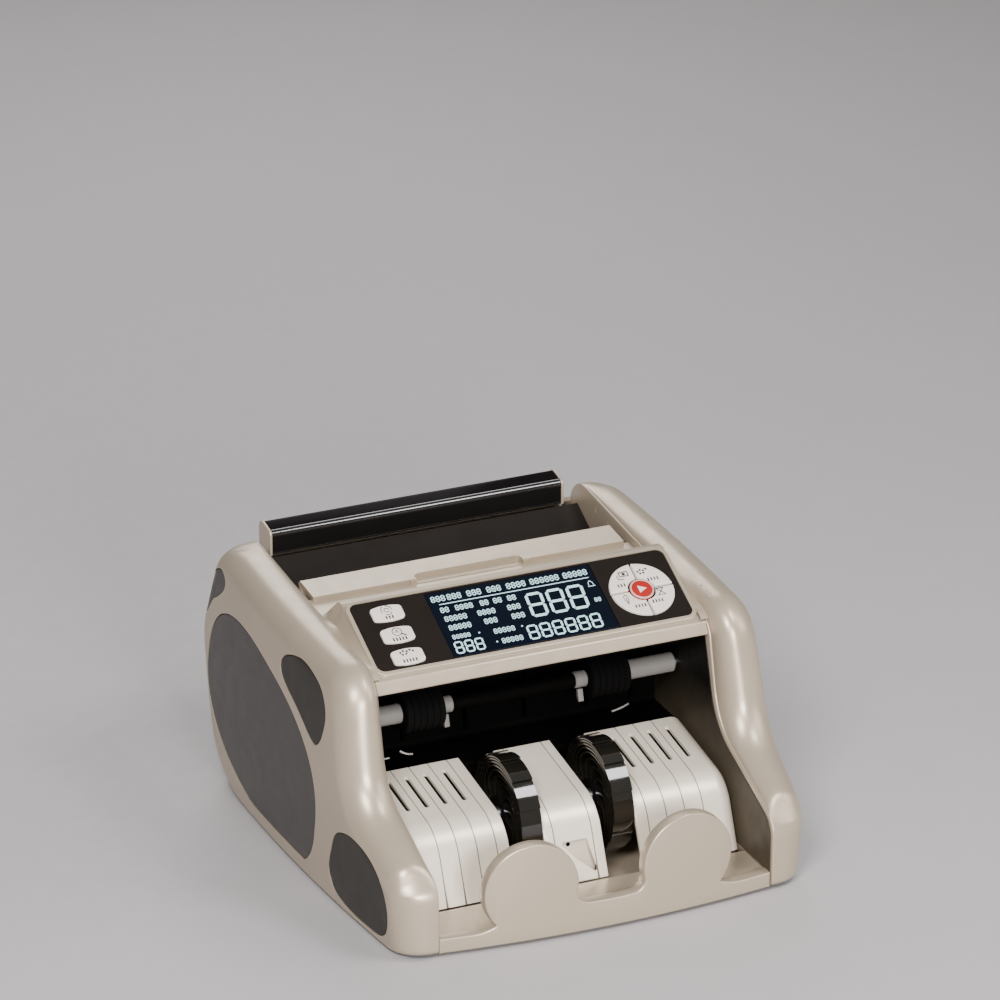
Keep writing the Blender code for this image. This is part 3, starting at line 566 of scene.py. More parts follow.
# Black plastic of the bay's guide, its ribs and the middle sleeve; the same dark is also painted shade for
# the notch's hole.
BAY_BLACK_AND_HOLE_SHADE = plastic("bay_black_plastic_and_hole_shade", (0.0015, 0.0012, 0.001), 0.7, mottle=0.2, grain=1500.0, depth=0.01,
                    specular=0.04)
GLOSS_BLACK = plastic("gloss_black_plastic", (0.006, 0.005, 0.005), 0.16, mottle=0.2, spread=0.03,
                      depth=0.001, specular=0.012)
GLOSS_EDGE = plastic("gloss_black_edge", (0.010, 0.009, 0.009), 0.10, mottle=0.1, spread=0.03, depth=0.001,
                     coat=1.0, coat_roughness=0.06)
SMOKED = plastic("smoked_vane_plastic", (0.009, 0.008, 0.006), 0.10, mottle=0.2, spread=0.02, depth=0.001,
                 coat=1.0, coat_roughness=0.03)
FASCIA = plastic("fascia_film", (0.009, 0.006, 0.0045), 0.5, mottle=0.1, grain=3000.0, depth=0.01,
                 specular=0.15)
WINDOW = plastic("display_window", (0.001, 0.003, 0.008), 0.16, mottle=0.2, spread=0.05, depth=0.001,
                 specular=0.25)
SEGMENT = glowing("display_segment", (0.56, 0.84, 0.88), 0.95)
KEY_WHITE = plastic("key_plastic", (0.74, 0.66, 0.60), 0.4, mottle=0.03, depth=0.01, wear=0.25)
KEY_RED = plastic("start_key_plastic", (0.33, 0.014, 0.011), 0.42, mottle=0.04, depth=0.008, specular=0.3)
KEY_RIM = plastic("start_key_rim", (0.62, 0.40, 0.36), 0.4, mottle=0.04, depth=0.01)
PRINT = plastic("printed_mark", (0.030, 0.024, 0.020), 0.5, mottle=0.2, depth=0.01)
PRINT_LIGHT = plastic("printed_mark_light", (0.78, 0.62, 0.56), 0.45, mottle=0.06, depth=0.01)
SLEEVE = plastic("sleeve_plastic", (0.21, 0.195, 0.18), 0.45, mottle=0.08, depth=0.02)
STEEL = plastic("brushed_steel", (0.52, 0.51, 0.50), 0.32, metallic=1.0, mottle=0.08, grain=900.0,
                depth=0.02, stretch=(0.06, 1, 1))
ZINC = plastic("zinc_plate", (0.50, 0.50, 0.49), 0.4, metallic=0.9, mottle=0.14, spread=0.1,
               grain=300.0, depth=0.03)
LAMINATIONS = plastic("core_laminations", (0.10, 0.095, 0.09), 0.45, metallic=0.8, mottle=0.25,
                      grain=500.0, depth=0.08, stretch=(0.05, 0.05, 3))
RUBBER = plastic("black_rubber", (0.003, 0.0028, 0.0028), 0.8, mottle=0.2, spread=0.08, grain=1200.0,
                 depth=0.04, specular=0.05)
BOARD = circuit_board("circuit_board")


# ---- the curved side covers ----
def side_x(y, z):
    """How far out the side's skin is at (y, z), away from its shoulders."""
    along = (y - SIDE_HIGH_POINT[0]) / 140
    up = (z - SIDE_HIGH_POINT[1]) / 70
    return HALF_WIDTH - SIDE_FALL[0] * along ** 2 - SIDE_FALL[1] * up ** 2


def skin_x(points, tree):
    """How far out the finished skin is at each (y, z)."""
    found = []
    for y, z in points:
        hit = tree.ray_cast(Vector((2 * HALF_WIDTH, y, z)), Vector((-1, 0, 0)))[0]
        found.append((hit or tree.find_nearest(Vector((HALF_WIDTH, y, z)))[0]).x)
    return found


def rim_blend(bay, crown):
    """For each rim point, 1 where the crown stands outside the bay's edge and 0 where it is inside."""
    result = []
    for p, q, n in zip(bay, crown, normals_of(bay)):
        result.append(max(0.0, min(1.0, ((q - p).dot(n) + 2) / 4)))
    return result


def shoulder_rings(bay, crown, crown_corners, wall, start):
    """The rings that sweep from the rim at the bay out over the shoulder to the side, as vectors."""
    shoulder = SHOULDER - wall
    profile = []
    for k in range(SWEEP_STEPS):
        angle = k / SWEEP_STEPS * math.pi / 2
        width = 1 - math.cos(angle)
        ring = []
        for p, q in zip(bay, crown):
            edge = side_x(*q) - wall - shoulder
            ring.append(Vector((start + (edge - start) * width, *p.lerp(q, math.sin(angle)))))
        profile.append(ring)
    for k in range(SHOULDER_STEPS + 1):
        angle = k / SHOULDER_STEPS * math.pi / 2
        inward = shoulder * (1 - math.cos(angle))
        inner = rounded(moved_in(crown_corners, [inward] * 6 + [0.0]), runs=RUNS)
        profile.append([Vector((side_x(*p) - wall - shoulder * (1 - math.sin(angle)), *p)) for p in inner])
    return profile, inner


def softened(profile, bay, crown, start):
    """The same rings where the rim is hollow; elsewhere an even curve from the rim to the side."""
    blend = rim_blend(bay, crown)
    result = []
    for k, ring in enumerate(profile):
        turn = k / (len(profile) - 1) * math.pi / 2
        out = math.sin(turn) ** (2 / ROUNDNESS)
        inwards = 1 - max(0.0, math.cos(turn)) ** (2 / ROUNDNESS)
        row = []
        for here, p, last, convex in zip(ring, bay, profile[-1], blend):
            even = Vector((start + (last.x - start) * out, *p.lerp(last.yz, inwards)))
            row.append(even.lerp(here, convex))
        result.append(row)
    return result


def cheek_solid(sign, wall=0.0):
    """The solid inside a cheek's skin moved in by wall; one with wall runs out of its bottom."""
    distances = [wall] * 6 + [-8.0 if wall else 0.0]
    bay_corners = moved_in(RIM_AT_BAY, distances)
    crown_corners = moved_in(RIM_AT_CROWN, distances)
    if wall:
        for corners, rim in ((bay_corners, RIM_AT_BAY), (crown_corners, RIM_AT_CROWN)):
            corners[-1] = (*corners[-1][:2], HOLLOW_CORNER * rim[-1][2])
    bay = rounded(bay_corners, runs=RUNS)
    crown = rounded(crown_corners, runs=RUNS)
    start = BAY_HALF + wall
    rings = []
    if not wall:
        for angle in (0, 25, 50, 75):
            a = math.radians(angle)
            ring = inset(bay, RIM_EDGE * (1 - math.sin(a)))
            rings.append([(sign * (start + RIM_EDGE * (1 - math.cos(a))), *p) for p in ring])
        start += RIM_EDGE
    profile, inner = shoulder_rings(bay, crown, crown_corners, wall, start)
    rings += [[(sign * p.x, p.y, p.z) for p in ring] for ring in softened(profile, bay, crown, start)]
    centre = Vector(SIDE_CENTRE)
    for k in range(1, SIDE_STEPS):
        ring = [p.lerp(centre, k / SIDE_STEPS) for p in inner]
        rings.append([(sign * (side_x(*p) - wall), *p) for p in ring])
    bm = bmesh.new()
    made = loft(bm, rings, close_ends=False)
    bm.faces.new(made[0][::-1])
    fan(bm, made[-1], (sign * (side_x(*centre) - wall), *centre))
    return bm


def oval_outline(grow=0.0, count=112):
    """The tilted oval, flattened where it nears the bottom edge."""
    half = OVAL["half"]
    tilt = math.radians(OVAL["tilt"])
    points = []
    for k in range(count):
        angle = -2 * math.pi * k / count
        c, s = math.cos(angle), math.sin(angle)
        u = (half[0] + grow) * math.copysign(abs(c) ** (2 / OVAL["power"]), c)
        v = (half[1] + grow) * math.copysign(abs(s) ** (2 / OVAL["power"]), s)
        y = OVAL["at"][0] + u * math.cos(tilt) - v * math.sin(tilt)
        z = OVAL["at"][1] + u * math.sin(tilt) + v * math.cos(tilt)
        points.append(Vector((y, max(z, OVAL["floor"] - grow))))
    return points


def leaf_outline(points, grow=0.0):
    curve = smooth_loop(points)
    return inset(curve if is_clockwise(curve) else curve[::-1], -grow)


def skin_plate(sign, tree, levels, outline):
    """A plate that follows the skin: levels are (past the skin, moved in) from its underside up."""
    def raised(ring, past):
        return [(sign * (x + past), *p) for x, p in zip(skin_x(ring, tree), ring)]

    centre = middle_of(outline)
    rings = []
    caps = []
    for end in (levels[0], levels[-1]):
        edge = inset(outline, end[1])
        caps.append([[p.lerp(centre, k / 10) for p in edge] for k in range(1, 10)])
    for past, inward in levels:
        rings.append(raised(inset(outline, inward) if inward else outline, past))
    under = [raised(r, levels[0][0]) for r in caps[0][::-1]]
    over = [raised(r, levels[-1][0]) for r in caps[1]]
    bm = bmesh.new()
    made = loft(bm, under + rings + over, close_ends=False)
    for ring, past in ((made[0], levels[0][0]), (made[-1], levels[-1][0])):
        fan(bm, ring, raised([centre], past)[0])
    return bm


def make_sides():
    """Both side covers with their recesses, and the eight grey inlays in them."""
    whole = cheek_solid(1)
    bmesh.ops.recalc_face_normals(whole, faces=whole.faces)
    tree = BVHTree.FromBMesh(whole)
    whole.free()
    pillow = [(-1.2, 0.0), (-INLAY_SINK - 0.5, 0.0), (-INLAY_SINK - 0.25, 0.08),
              (-INLAY_SINK - 0.08, 0.25), (-INLAY_SINK, 0.5), (-INLAY_SINK, 1.2)]
    for side, sign in SIDES:
        cover = new_object(f"{side}_cheek", cheek_solid(sign), SHELL)
        cut(cover, cheek_solid(sign, WALL))
        wall = ends(sign, BAY_HALF - 1, BAY_HALF + WALL + 1)
        cut(cover, shape(block, (wall[0], -143, -5), (wall[1], 134, 5.4)))
        for centre in (TRANSPORT_AT, FEED_AT, IMPELLER_AT):
            cut(cover, slab(circle(centre, 7), *wall))
        shallow = ends(sign, BAY_HALF - 1, BAY_HALF + 1.2)
        for y, low, high in ((86, 146, 149.5), (104, 148, 151.5)):
            cut(cover, slab(box_outline((y - 0.8, low), (y + 0.8, high)), *shallow))
        cut(cover, slab(circle((-132, 30), 1.1, 24), *shallow))
        outlines = {"oval": oval_outline}
        outlines.update({name: (lambda grow=0.0, c=c: leaf_outline(c, grow)) for name, c in LEAVES.items()})
        for name, outline in outlines.items():
            cut(cover, skin_plate(sign, tree, [(-RECESS_DEPTH, 0), (8.0, 0)], outline(0.45)))
            plate = skin_plate(sign, tree, pillow, outline(0.05))
            piece(f"{side}_inlay_{name}_face", plate, INLAY_DARK if name.endswith("front") else INLAY,
                  replaces=f"{side}_inlay_{name}", slot="inlay")
        settle(cover, replaces=f"{side}_side_cover", slot="shell", sharp=30)
        make_skirt(side, sign, tree)


def hood_top(y):
    """The height of the hood's upper face at y."""
    ridge = in_panel(PANEL_DEPTH + 2.6, 0)
    if y < ridge[0]:
        return PANEL_AT[2] + (y - PANEL_AT[1]) * math.tan(PANEL_TILT) - 0.6
    share = (y - ridge[0]) / (HOOD_REAR - ridge[0])
    return ridge[1] - 0.6 - (ridge[1] - HOOD_REAR_TOP) * share


def make_skirt(side, sign, tree):
    """The flared strip that carries the hood's side wall over into the cheek."""
    across, along = 12, 30
    near, far = 106.6, 117.5
    first = in_panel(-5.5, 0)[0]
    upper, lower = [], []
    for i in range(along + 1):
        y = first + (HOOD_REAR - first) * i / along
        row = []
        for k in range(across + 1):
            x = near + (far - near) * k / across
            hit = tree.ray_cast(Vector((max(x, BAY_HALF + 1.2), y, 300)), Vector((0, 0, -1)))[0]
            rise = max(0.0, hood_top(y) - hit.z)
            row.append(Vector((sign * x, y, hit.z + rise * (1 - k / across) ** 2.4)))
        upper.append(row)
        lower.append([Vector((p.x, p.y, p.z - 1.2)) for p in row])
    rings = [up + down[::-1] for up, down in zip(upper, lower)]
    piece(f"hood_skirt_{side}", shape(loft, rings), SHELL, slot="shell", sharp=50)


# ---- the display hood and its panel ----
def in_panel(v, n):
    """(y, z) of a point v up the panel and n out of it."""
    return (PANEL_AT[1] + v * math.cos(PANEL_TILT) - n * math.sin(PANEL_TILT),
            PANEL_AT[2] + v * math.sin(PANEL_TILT) + n * math.cos(PANEL_TILT))


def panel_plate(half, low, high, radius):
    """A rounded rectangle in the panel's plane."""
    return box_outline((-half, low), (half, high), radius, steps=10)


def make_hood():
    """The wedge that holds the panel, with the raised frame that runs round it."""
    land = -0.9  # the wedge's face, below the panel's plane
    nose = [(-61.6, 132.8, 1.0), (*in_panel(-6.4, land), 3.2)]
    corners = nose + [(*in_panel(57.6, land), 1.5), (6, 167.4, 2), (HOOD_REAR, HOOD_REAR_TOP, 1),
                      (HOOD_REAR, 134.5, 0)]
    half = FASCIA_HALF + 2.9
    hood = new_object("hood_shell", slab(rounded(corners), -half, half, edge=0.8), SHELL)
    low = nose + [(*in_panel(2, -2.5), 6), (*in_panel(50, -16), 2), (HOOD_REAR, 148.0, 1),
                  (HOOD_REAR, 134.5, 0)]
    cut(hood, slab(rounded(low), -INSIDE, INSIDE), operation="UNION", solver="EXACT")
    ring = panel_plate(half, -3.4, PANEL_DEPTH + 2.8, 8)
    cut(hood, slab(ring, -2.5, 0.5, axis="z", edge=0.7), panel_matrix(), "UNION")
    cavity = moved_in(corners, [WALL, 4.7, WALL, WALL, WALL, -20])
    cut(hood, slab(rounded(cavity), -INSIDE + WALL, INSIDE - WALL))
    pocket = panel_plate(FASCIA_HALF + 0.3, -0.3, PANEL_DEPTH + 0.3, 5.3)
    cut(hood, slab(pocket, -1.8, 6, axis="z"), panel_matrix())
    opening = panel_plate(101.2, 1.0, PANEL_DEPTH - 3, 2)
    cut(hood, slab(opening, -20, 6, axis="z"), panel_matrix())
    settle(hood, replaces="display_hood", slot="shell")


def barrel(row, grow=0.0):
    """A function key's outline: straight sides, and a top and a bottom that bow out."""
    half = FUNCTION_KEY[0] / 2 + grow
    middle = FUNCTION_KEY[1] / 2 + grow
    corner = middle - 1.5
    x, v = FUNCTION_KEY_X, FUNCTION_KEY_ROWS[row]
    points = []
    for turn in (1, -1):
        points.append((x - half * turn, v + corner * turn, 2.4))
        for k in range(-6, 7):
            share = k / 8
            points.append((x + share * half * turn,
                           v + (middle - (middle - corner) * share ** 2) * turn, 0))
        points.append((x + half * turn, v + corner * turn, 2.4))
    return rounded(points)


def pad_sector(index, grow=0.0, steps=24):
    """One quarter of the round pad, clear of its neighbours and of the start button."""
    split = PAD_SPLIT - grow
    points = []
    for radius, order in ((PAD_INNER - grow, 1), (PAD_RADIUS + grow, -1)):
        edge = math.asin(split / radius)
        arc = [edge + (math.pi / 2 - 2 * edge) * k / steps for k in range(steps + 1)]
        points += [(radius, angle) for angle in arc[::order]]
    turn = index * math.pi / 2
    return [PAD_AT + polar(r, a + turn) for r, a in points]


def make_fascia():
    """The dark film with its openings, and the window over the display."""
    film = slab(panel_plate(FASCIA_HALF, 0, PANEL_DEPTH, 5), -1.5, 0, axis="z")
    film = new_object("fascia_film", film, FASCIA, panel_matrix())
    clear = 0.3
    low = Vector((-LCD_HALF, LCD_SPAN[0]))
    high = Vector((LCD_HALF, LCD_SPAN[1]))
    gap = Vector((clear, clear))
    openings = [box_outline(low - gap, high + gap), circle(PAD_AT, PAD_RADIUS + 0.4, 96)]
    openings += [barrel(row, clear) for row in FUNCTION_KEY_ROWS]
    for outline in openings:
        cut(film, slab(outline, -4, 4, axis="z"), panel_matrix())
    settle(film, replaces="control_fascia", slot="fascia")
    glass = slab(box_outline(low, high, 0.5), -1.5, -0.2, axis="z", edge=0.15)
    piece("display_glass", glass, WINDOW, panel_matrix(), replaces="lcd_window", slot="display_glass")


# The ends of each segment of a digit, as (across, up) in its own height and width.
SEGMENTS = (((0, 1), (1, 1)), ((0, 0.5), (1, 0.5)), ((0, 0), (1, 0)), ((0, 0.5), (0, 1)),
            ((1, 0.5), (1, 1)), ((0, 0), (0, 0.5)), ((1, 0), (1, 0.5)))
LIT = (-0.19, -0.1)  # from the window's face to the lit shapes' upper side
# Groups of big digits: the first one's place (across, up), height, pitch, how many and stroke.
DIGITS = ((4.6, 20.2, 19.0, 13.6, 3, 1.9), (-3.4, 3.6, 11.4, 8.4, 6, 1.25), (-52.2, 3.2, 9.6, 6.8, 3, 1.1))
# Rows of small digits: the height up the panel, the digits' height, and (start, how many) for each group.
LABELS = ((45.2, 4.6, ((-52.6, 3), (-42.0, 3), (-28.8, 3), (-15.6, 3), (-2.5, 4), (13.2, 6), (35.4, 5))),
          (36.2, 4.2, ((-49.8, 2), (-40.0, 4), (-23.6, 2), (-14.8, 2), (-5.4, 2))),
          (29.0, 4.2, ((-49.8, 5), (-28.0, 4), (-8.2, 3))),
          (21.8, 4.2, ((-49.8, 5), (-26.4, 3), (-8.2, 3))),
          (14.8, 3.4, ((-50.4, 5),)), (13.2, 4.0, ((-23.6, 5),)), (5.0, 4.0, ((-21.4, 5),)),
          (23.4, 3.2, ((47.6, 2),)))


def seven_segments(bm, x, v, width, height, stroke, slant=0.07):
    """One digit with all of its seven segments lit; each segment is a bar with pointed ends."""
    for start, end in SEGMENTS:
        span_x, span_v = width - stroke, height - stroke
        a = Vector((x + stroke / 2 + start[0] * span_x, v + stroke / 2 + start[1] * span_v))
        b = Vector((x + stroke / 2 + end[0] * span_x, v + stroke / 2 + end[1] * span_v))
        along = (b - a).normalized()
        across = Vector((-along.y, along.x)) * stroke / 2
        a, b = a + along * stroke * 0.12, b - along * stroke * 0.12
        tip = along * stroke / 2
        points = [a, a + tip + across, b - tip + across, b, b - tip - across, a + tip - across]
        prism(bm, [Vector((p.x + (p.y - v) * slant, p.y)) for p in points], *LIT, axis="z")


def digit_row(bm, start, v, height, widths, count, stroke):
    """Some digits side by side."""
    for k in range(count):
        seven_segments(bm, start + k * widths, v, widths * 0.84, height, stroke)


def make_display():
    """What the display shows: three groups of big digits, and small groups of digits as its labels."""
    big = bmesh.new()
    for group in DIGITS:
        digit_row(big, *group)
    piece("display_digits", big, SEGMENT, panel_matrix(), sharp=20)
    small = bmesh.new()
    for v, height, groups in LABELS:
        for x, count in groups:
            digit_row(small, x, v, height, height * 0.72, count, height * 0.155)
    prism(small, box_outline((-48.6, 42.6), (51.0, 43.2)), *LIT, axis="z")
    for spot in ((-32.6, 16.4), (-4.6, 15.4), (-24.4, 7.2)):
        prism(small, circle(spot, 0.6, 16), *LIT, axis="z")
    bell = [(48.6, 36.6), (49.1, 39.0), (50.3, 40.2), (51.5, 39.0), (52.0, 36.6)]
    ribbon(small, bell, 0.45, *LIT)
    prism(small, box_outline((47.9, 35.7), (52.7, 36.2)), *LIT, axis="z")
    piece("display_labels", small, SEGMENT, panel_matrix(), sharp=20)


def key_cap(name, outline, material, body, dome=0.3):
    """A key's cap with a rounded edge and a slightly crowned top, and the stem under it."""
    top = KEY_PROUD
    levels = [(-1.6, 0.0), (top - 0.75, 0.0), (top - 0.5, 0.07), (top - 0.33, 0.2), (top - 0.25, 0.42)]
    centre = middle_of(outline)
    rings = [[(*p, n) for p in (inset(outline, d) if d else outline)] for n, d in levels]
    edge = inset(outline, levels[-1][1])
    for k in range(1, 6):
        share = k / 6
        rise = (dome - 0.05) * (1 - (1 - share) ** 2) + levels[-1][0]
        rings.append([(*p.lerp(centre, share), min(rise, top)) for p in edge])
    cap = new_object(name, shape(loft, rings), material, panel_matrix())
    cut(cap, slab(circle(centre, 2.2, 24), -5.4, -1.0, axis="z"), panel_matrix(), "UNION")
    return settle(cap, body, replaces=body, slot="key_red" if body == "start_button" else "key_white")


def ticks(bm, x, v, count):
    """A short row of upright strokes, where a key's label goes."""
    for k in range(count):
        middle = x + (k - (count - 1) / 2) * 1.7
        ribbon(bm, [(middle, v - 1.05), (middle, v + 1.05)], 0.75, *PRINTED)


def arc_points(radius, start, end, count=12):
    return [polar(radius, math.radians(start + (end - start) * k / count)) for k in range(count + 1)]


def printed(name, bm, material, key, middle):
    """A mark printed on a key, drawn up about its middle; it moves with the key."""
    bm.transform(at(*middle) @ Matrix.Diagonal((MARK_SCALE, MARK_SCALE, 1, 1)) @ at(*(-middle)))
    piece(name, bm, material, panel_matrix(), body=key)


def mark(key, spot, middle, strokes=(), rings=(), dots=(), row=(0, 0, 0)):
    """A small picture round a spot on a key: open lines, closed lines, dots and a row of ticks."""
    bm = bmesh.new()
    for closed, lines in ((False, strokes), (True, rings)):
        for points, width in lines:
            ribbon(bm, [spot + Vector(p) for p in points], width, *PRINTED, closed=closed)
    for place, radius, sides in dots:
        prism(bm, circle(spot + Vector(place), radius, sides), *PRINTED, axis="z")
    ticks(bm, spot.x + row[0], spot.y + row[1], row[2])
    printed("mark_" + key.replace("_key", ""), bm, PRINT, key, middle)


def make_function_marks():
    """Turning arrows, a lens and a heap of dots."""
    spots = {row: Vector((FUNCTION_KEY_X, v)) for row, v in FUNCTION_KEY_ROWS.items()}
    up = Vector((0, 1.6))
    arrows = [(arc_points(2.9, k * 120, k * 120 + 88), 0.42) for k in range(3)]
    mark("function_key_top", spots["top"] + up, spots["top"], arrows + [(arc_points(1.3, 0, 330), 0.4)],
         row=(0, -4.7, 3))
    peak = ([(-0.9, -0.7), (0, 1.1), (0.9, -0.7)], 0.4)
    handle = ([(2.1, -1.7), (4.1, -3.0)], 0.8)
    mark("function_key_middle", spots["middle"] + Vector((0, 1.5)), spots["middle"], [peak, handle],
         [(circle((0, 0), 2.5, 32), 0.45)], row=(0, -4.7, 5))
    heap = ((-3.4, 0.9), (-1.7, 1.8), (0.2, 1.2), (2.0, 1.9), (3.5, 1.0), (-2.6, -0.6), (-0.6, -0.3))
    mark("function_key_bottom", spots["bottom"] + up, spots["bottom"], dots=[(p, 0.62, 14) for p in heap],
         row=(0, -4.6, 5))


def make_pad_marks():
    """Dots, two notes, an hourglass, a leaf, and the start button's triangle."""
    turns = {"upper_right": 1.05, "upper_left": 2.1, "lower_left": 3.85, "lower_right": 5.55}
    spots = {name: PAD_AT + polar(MARKS_RADIUS, a) for name, a in turns.items()}
    heap = ((-4.0, 0.6), (-2.4, 1.5), (-0.8, 0.9), (0.8, 1.7), (-3.0, -0.8), (-1.2, -0.6))
    note = ([(-2.2, 2.2), (2.6, 2.2), (2.6, -0.6), (-2.2, -0.6), (-2.2, 2.4)], 0.5)
    under = ([(-3.6, 0.4), (-3.6, -2.4), (-0.4, -2.4)], 0.45)
    glass = ([(-1.9, 6.6), (1.9, 6.6), (-1.9, 2.2), (1.9, 2.2), (-1.9, 6.6)], 0.42)
    leaf = [(-1.4 + 1.7 * math.cos(a) * (0.6 + 0.4 * math.sin(a)), 2.6 + 3.0 * math.sin(a))
            for a in (2 * math.pi * k / 32 for k in range(32))]
    drawn = {"upper_right": {"dots": [(p, 0.6, 14) for p in heap], "row": (2.2, -5.4, 4)},
             "upper_left": {"strokes": [note, under], "dots": [((0.2, 0.8), 0.95, 16)],
                            "row": (-3.6, -6.2, 3)},
             "lower_right": {"strokes": [glass], "row": (-4.0, -1.2, 4)},
             "lower_left": {"strokes": [([(-1.4, -0.2), (-1.4, 4.0)], 0.4)], "rings": [(leaf, 0.42)],
                            "row": (4.2, -2.6, 4)}}
    for name, parts in drawn.items():
        mark(f"pad_key_{name}", spots[name], spots[name], **parts)
    triangle = [PAD_AT + Vector(p) for p in ((-1.9, 2.4), (-1.9, -2.4), (2.6, 0.0))]
    printed("mark_start", slab(triangle, *PRINTED, axis="z"), PRINT_LIGHT, "start_button", PAD_AT)


def make_keys():
    for row in FUNCTION_KEY_ROWS:
        key_cap(f"cap_function_{row}", barrel(row), KEY_WHITE, f"function_key_{row}")
    for index, name in enumerate(("upper_right", "upper_left", "lower_left", "lower_right")):
        key_cap(f"cap_pad_{name}", pad_sector(index), KEY_WHITE, f"pad_key_{name}")
    key_cap("cap_start", circle(PAD_AT, START_RADIUS, 64), KEY_RED, "start_button")
    rim = bmesh.new()
    rings = []
    for radius, n in ((START_RADIUS, KEY_PROUD - 0.9), (START_RADIUS + 0.02, KEY_PROUD - 0.4),
                      (START_RADIUS - 0.25, KEY_PROUD - 0.05), (6.75, KEY_PROUD), (6.6, KEY_PROUD - 0.15),
                      (6.6, KEY_PROUD - 0.9)):
        rings.append([(*p, n) for p in circle(PAD_AT, radius, 64)])
    join_ends(rim, loft(rim, rings, close_ends=False))
    piece("start_rim", rim, KEY_RIM, panel_matrix(), body="start_button")
    make_function_marks()
    make_pad_marks()


# ---- hopper ----
def make_hopper():
    """Cream front plate with its thumb scoop, black sloping floor, glossy bar and its end caps."""
    strip = sheet([(27.6, 147.0), (54.0, 148.2)], WALL)
    upper = sheet([(51.0, 151.2), (72.2, 153.4), (74.6, 151.6), (68.8, 119.0)], WALL)
    step = [Vector(p) for p in ((51.0, 151.2), (51.0, 146.0), (54.5, 146.0), (54.5, 149.5))]
    scoop = rounded([(-36, 40, 0), (-36, 57, 4), (36, 57, 4), (36, 40, 0)])
    front = new_object("hopper_front", slab(strip, -INSIDE, INSIDE), SHELL)
    for outline in (upper, step):
        cut(front, slab(outline, -104.6, 104.6), operation="UNION", solver="EXACT")
    cut(front, shape(block, (-40, 50, 146.2), (40, 60.5, 150.8)), operation="UNION", solver="EXACT")
    cut(front, slab(scoop, 148.6, 160, axis="z"), solver="EXACT")
    settle(front, replaces="hopper_front_plate", slot="shell", edge=0.45, segments=3)

    slope = sheet([(71, 113.5), (131, 144.3)], WALL)
    floor = new_object("hopper_slope", slab(slope, -INSIDE, INSIDE), MATT_BLACK)
    for x in (-34, 34):
        cut(floor, slab(box_outline((x - 13, 66), (x + 13, 103), 3), 90, 150, axis="z"))
    settle(floor, replaces="hopper_floor", slot="matt_black", edge=0.3)

    profile = rounded([(131.6, 145.4, 1.2), (131.6, 160.6, 3.2), (150, 164.2, 5.5), (149, 145.4, 2.0)], 12)
    piece("hopper_bar_gloss", slab(profile, -98.5, 98.5, edge=0.3), GLOSS_BLACK,
          replaces="hopper_bar", slot="gloss_black")
    edges = bmesh.new()
    for y, z, radius in ((134.8, 157.96, 3.25), (132.8, 146.6, 1.25)):
        join(edges, shape(turned, [(-98.3, radius), (98.3, radius)]), at(0, y, z))
    piece("hopper_bar_edges", edges, GLOSS_EDGE, slot="gloss_black")
    bracket = rounded([(131.2, 144.9, 0.6), (131.2, 161.2, 3.4), (150.4, 164.8, 5.8), (149.4, 144.9, 2.0),
                       (139.6, 144.9, 1), (138, 132, 2), (133.6, 132, 2), (133.6, 144.9, 1)])
    for side, sign in SIDES:
        piece(f"bar_end_{side}", slab(bracket, *ends(sign, 98.6, 100.2), edge=0.35), SHELL,
              replaces=f"bar_cap_{side}", slot="shell")


# ---- stacker and its bay ----
def quarter(radius, steps):
    """(along, down) of a quarter circle that starts level and turns down."""
    turns = (math.pi / 2 * k / steps for k in range(steps + 1))
    return [(radius * math.sin(a), radius - radius * math.cos(a)) for a in turns]


def stacker_section(low, high, roll, lines, groove):
    """A plate's cross-section as (x, depth below the outer face): outside first, then the underside."""
    thick = 2.0
    edge = 0.7
    outer = [(low, 1.3)] + [(low + edge - along, down) for along, down in quarter(edge, 4)[::-1]]
    for x in lines:
        outer += [(x - groove * 1.1, 0.0), (x - groove, 0.7), (x + groove, 0.7), (x + groove * 1.1, 0.0)]
    if roll:
        outer += [(high - roll + along, down) for along, down in quarter(roll, 12)]
        inner = [(high - thick, roll + 0.3)]
        inner += [(high - roll + along, thick + down) for along, down in quarter(roll - thick, 12)[::-1]]
    else:
        outer += [(high - edge + along, down) for along, down in quarter(edge, 4)] + [(high, 1.3)]
        inner = [(high, thick)]
    return outer + inner + [(low, thick)]


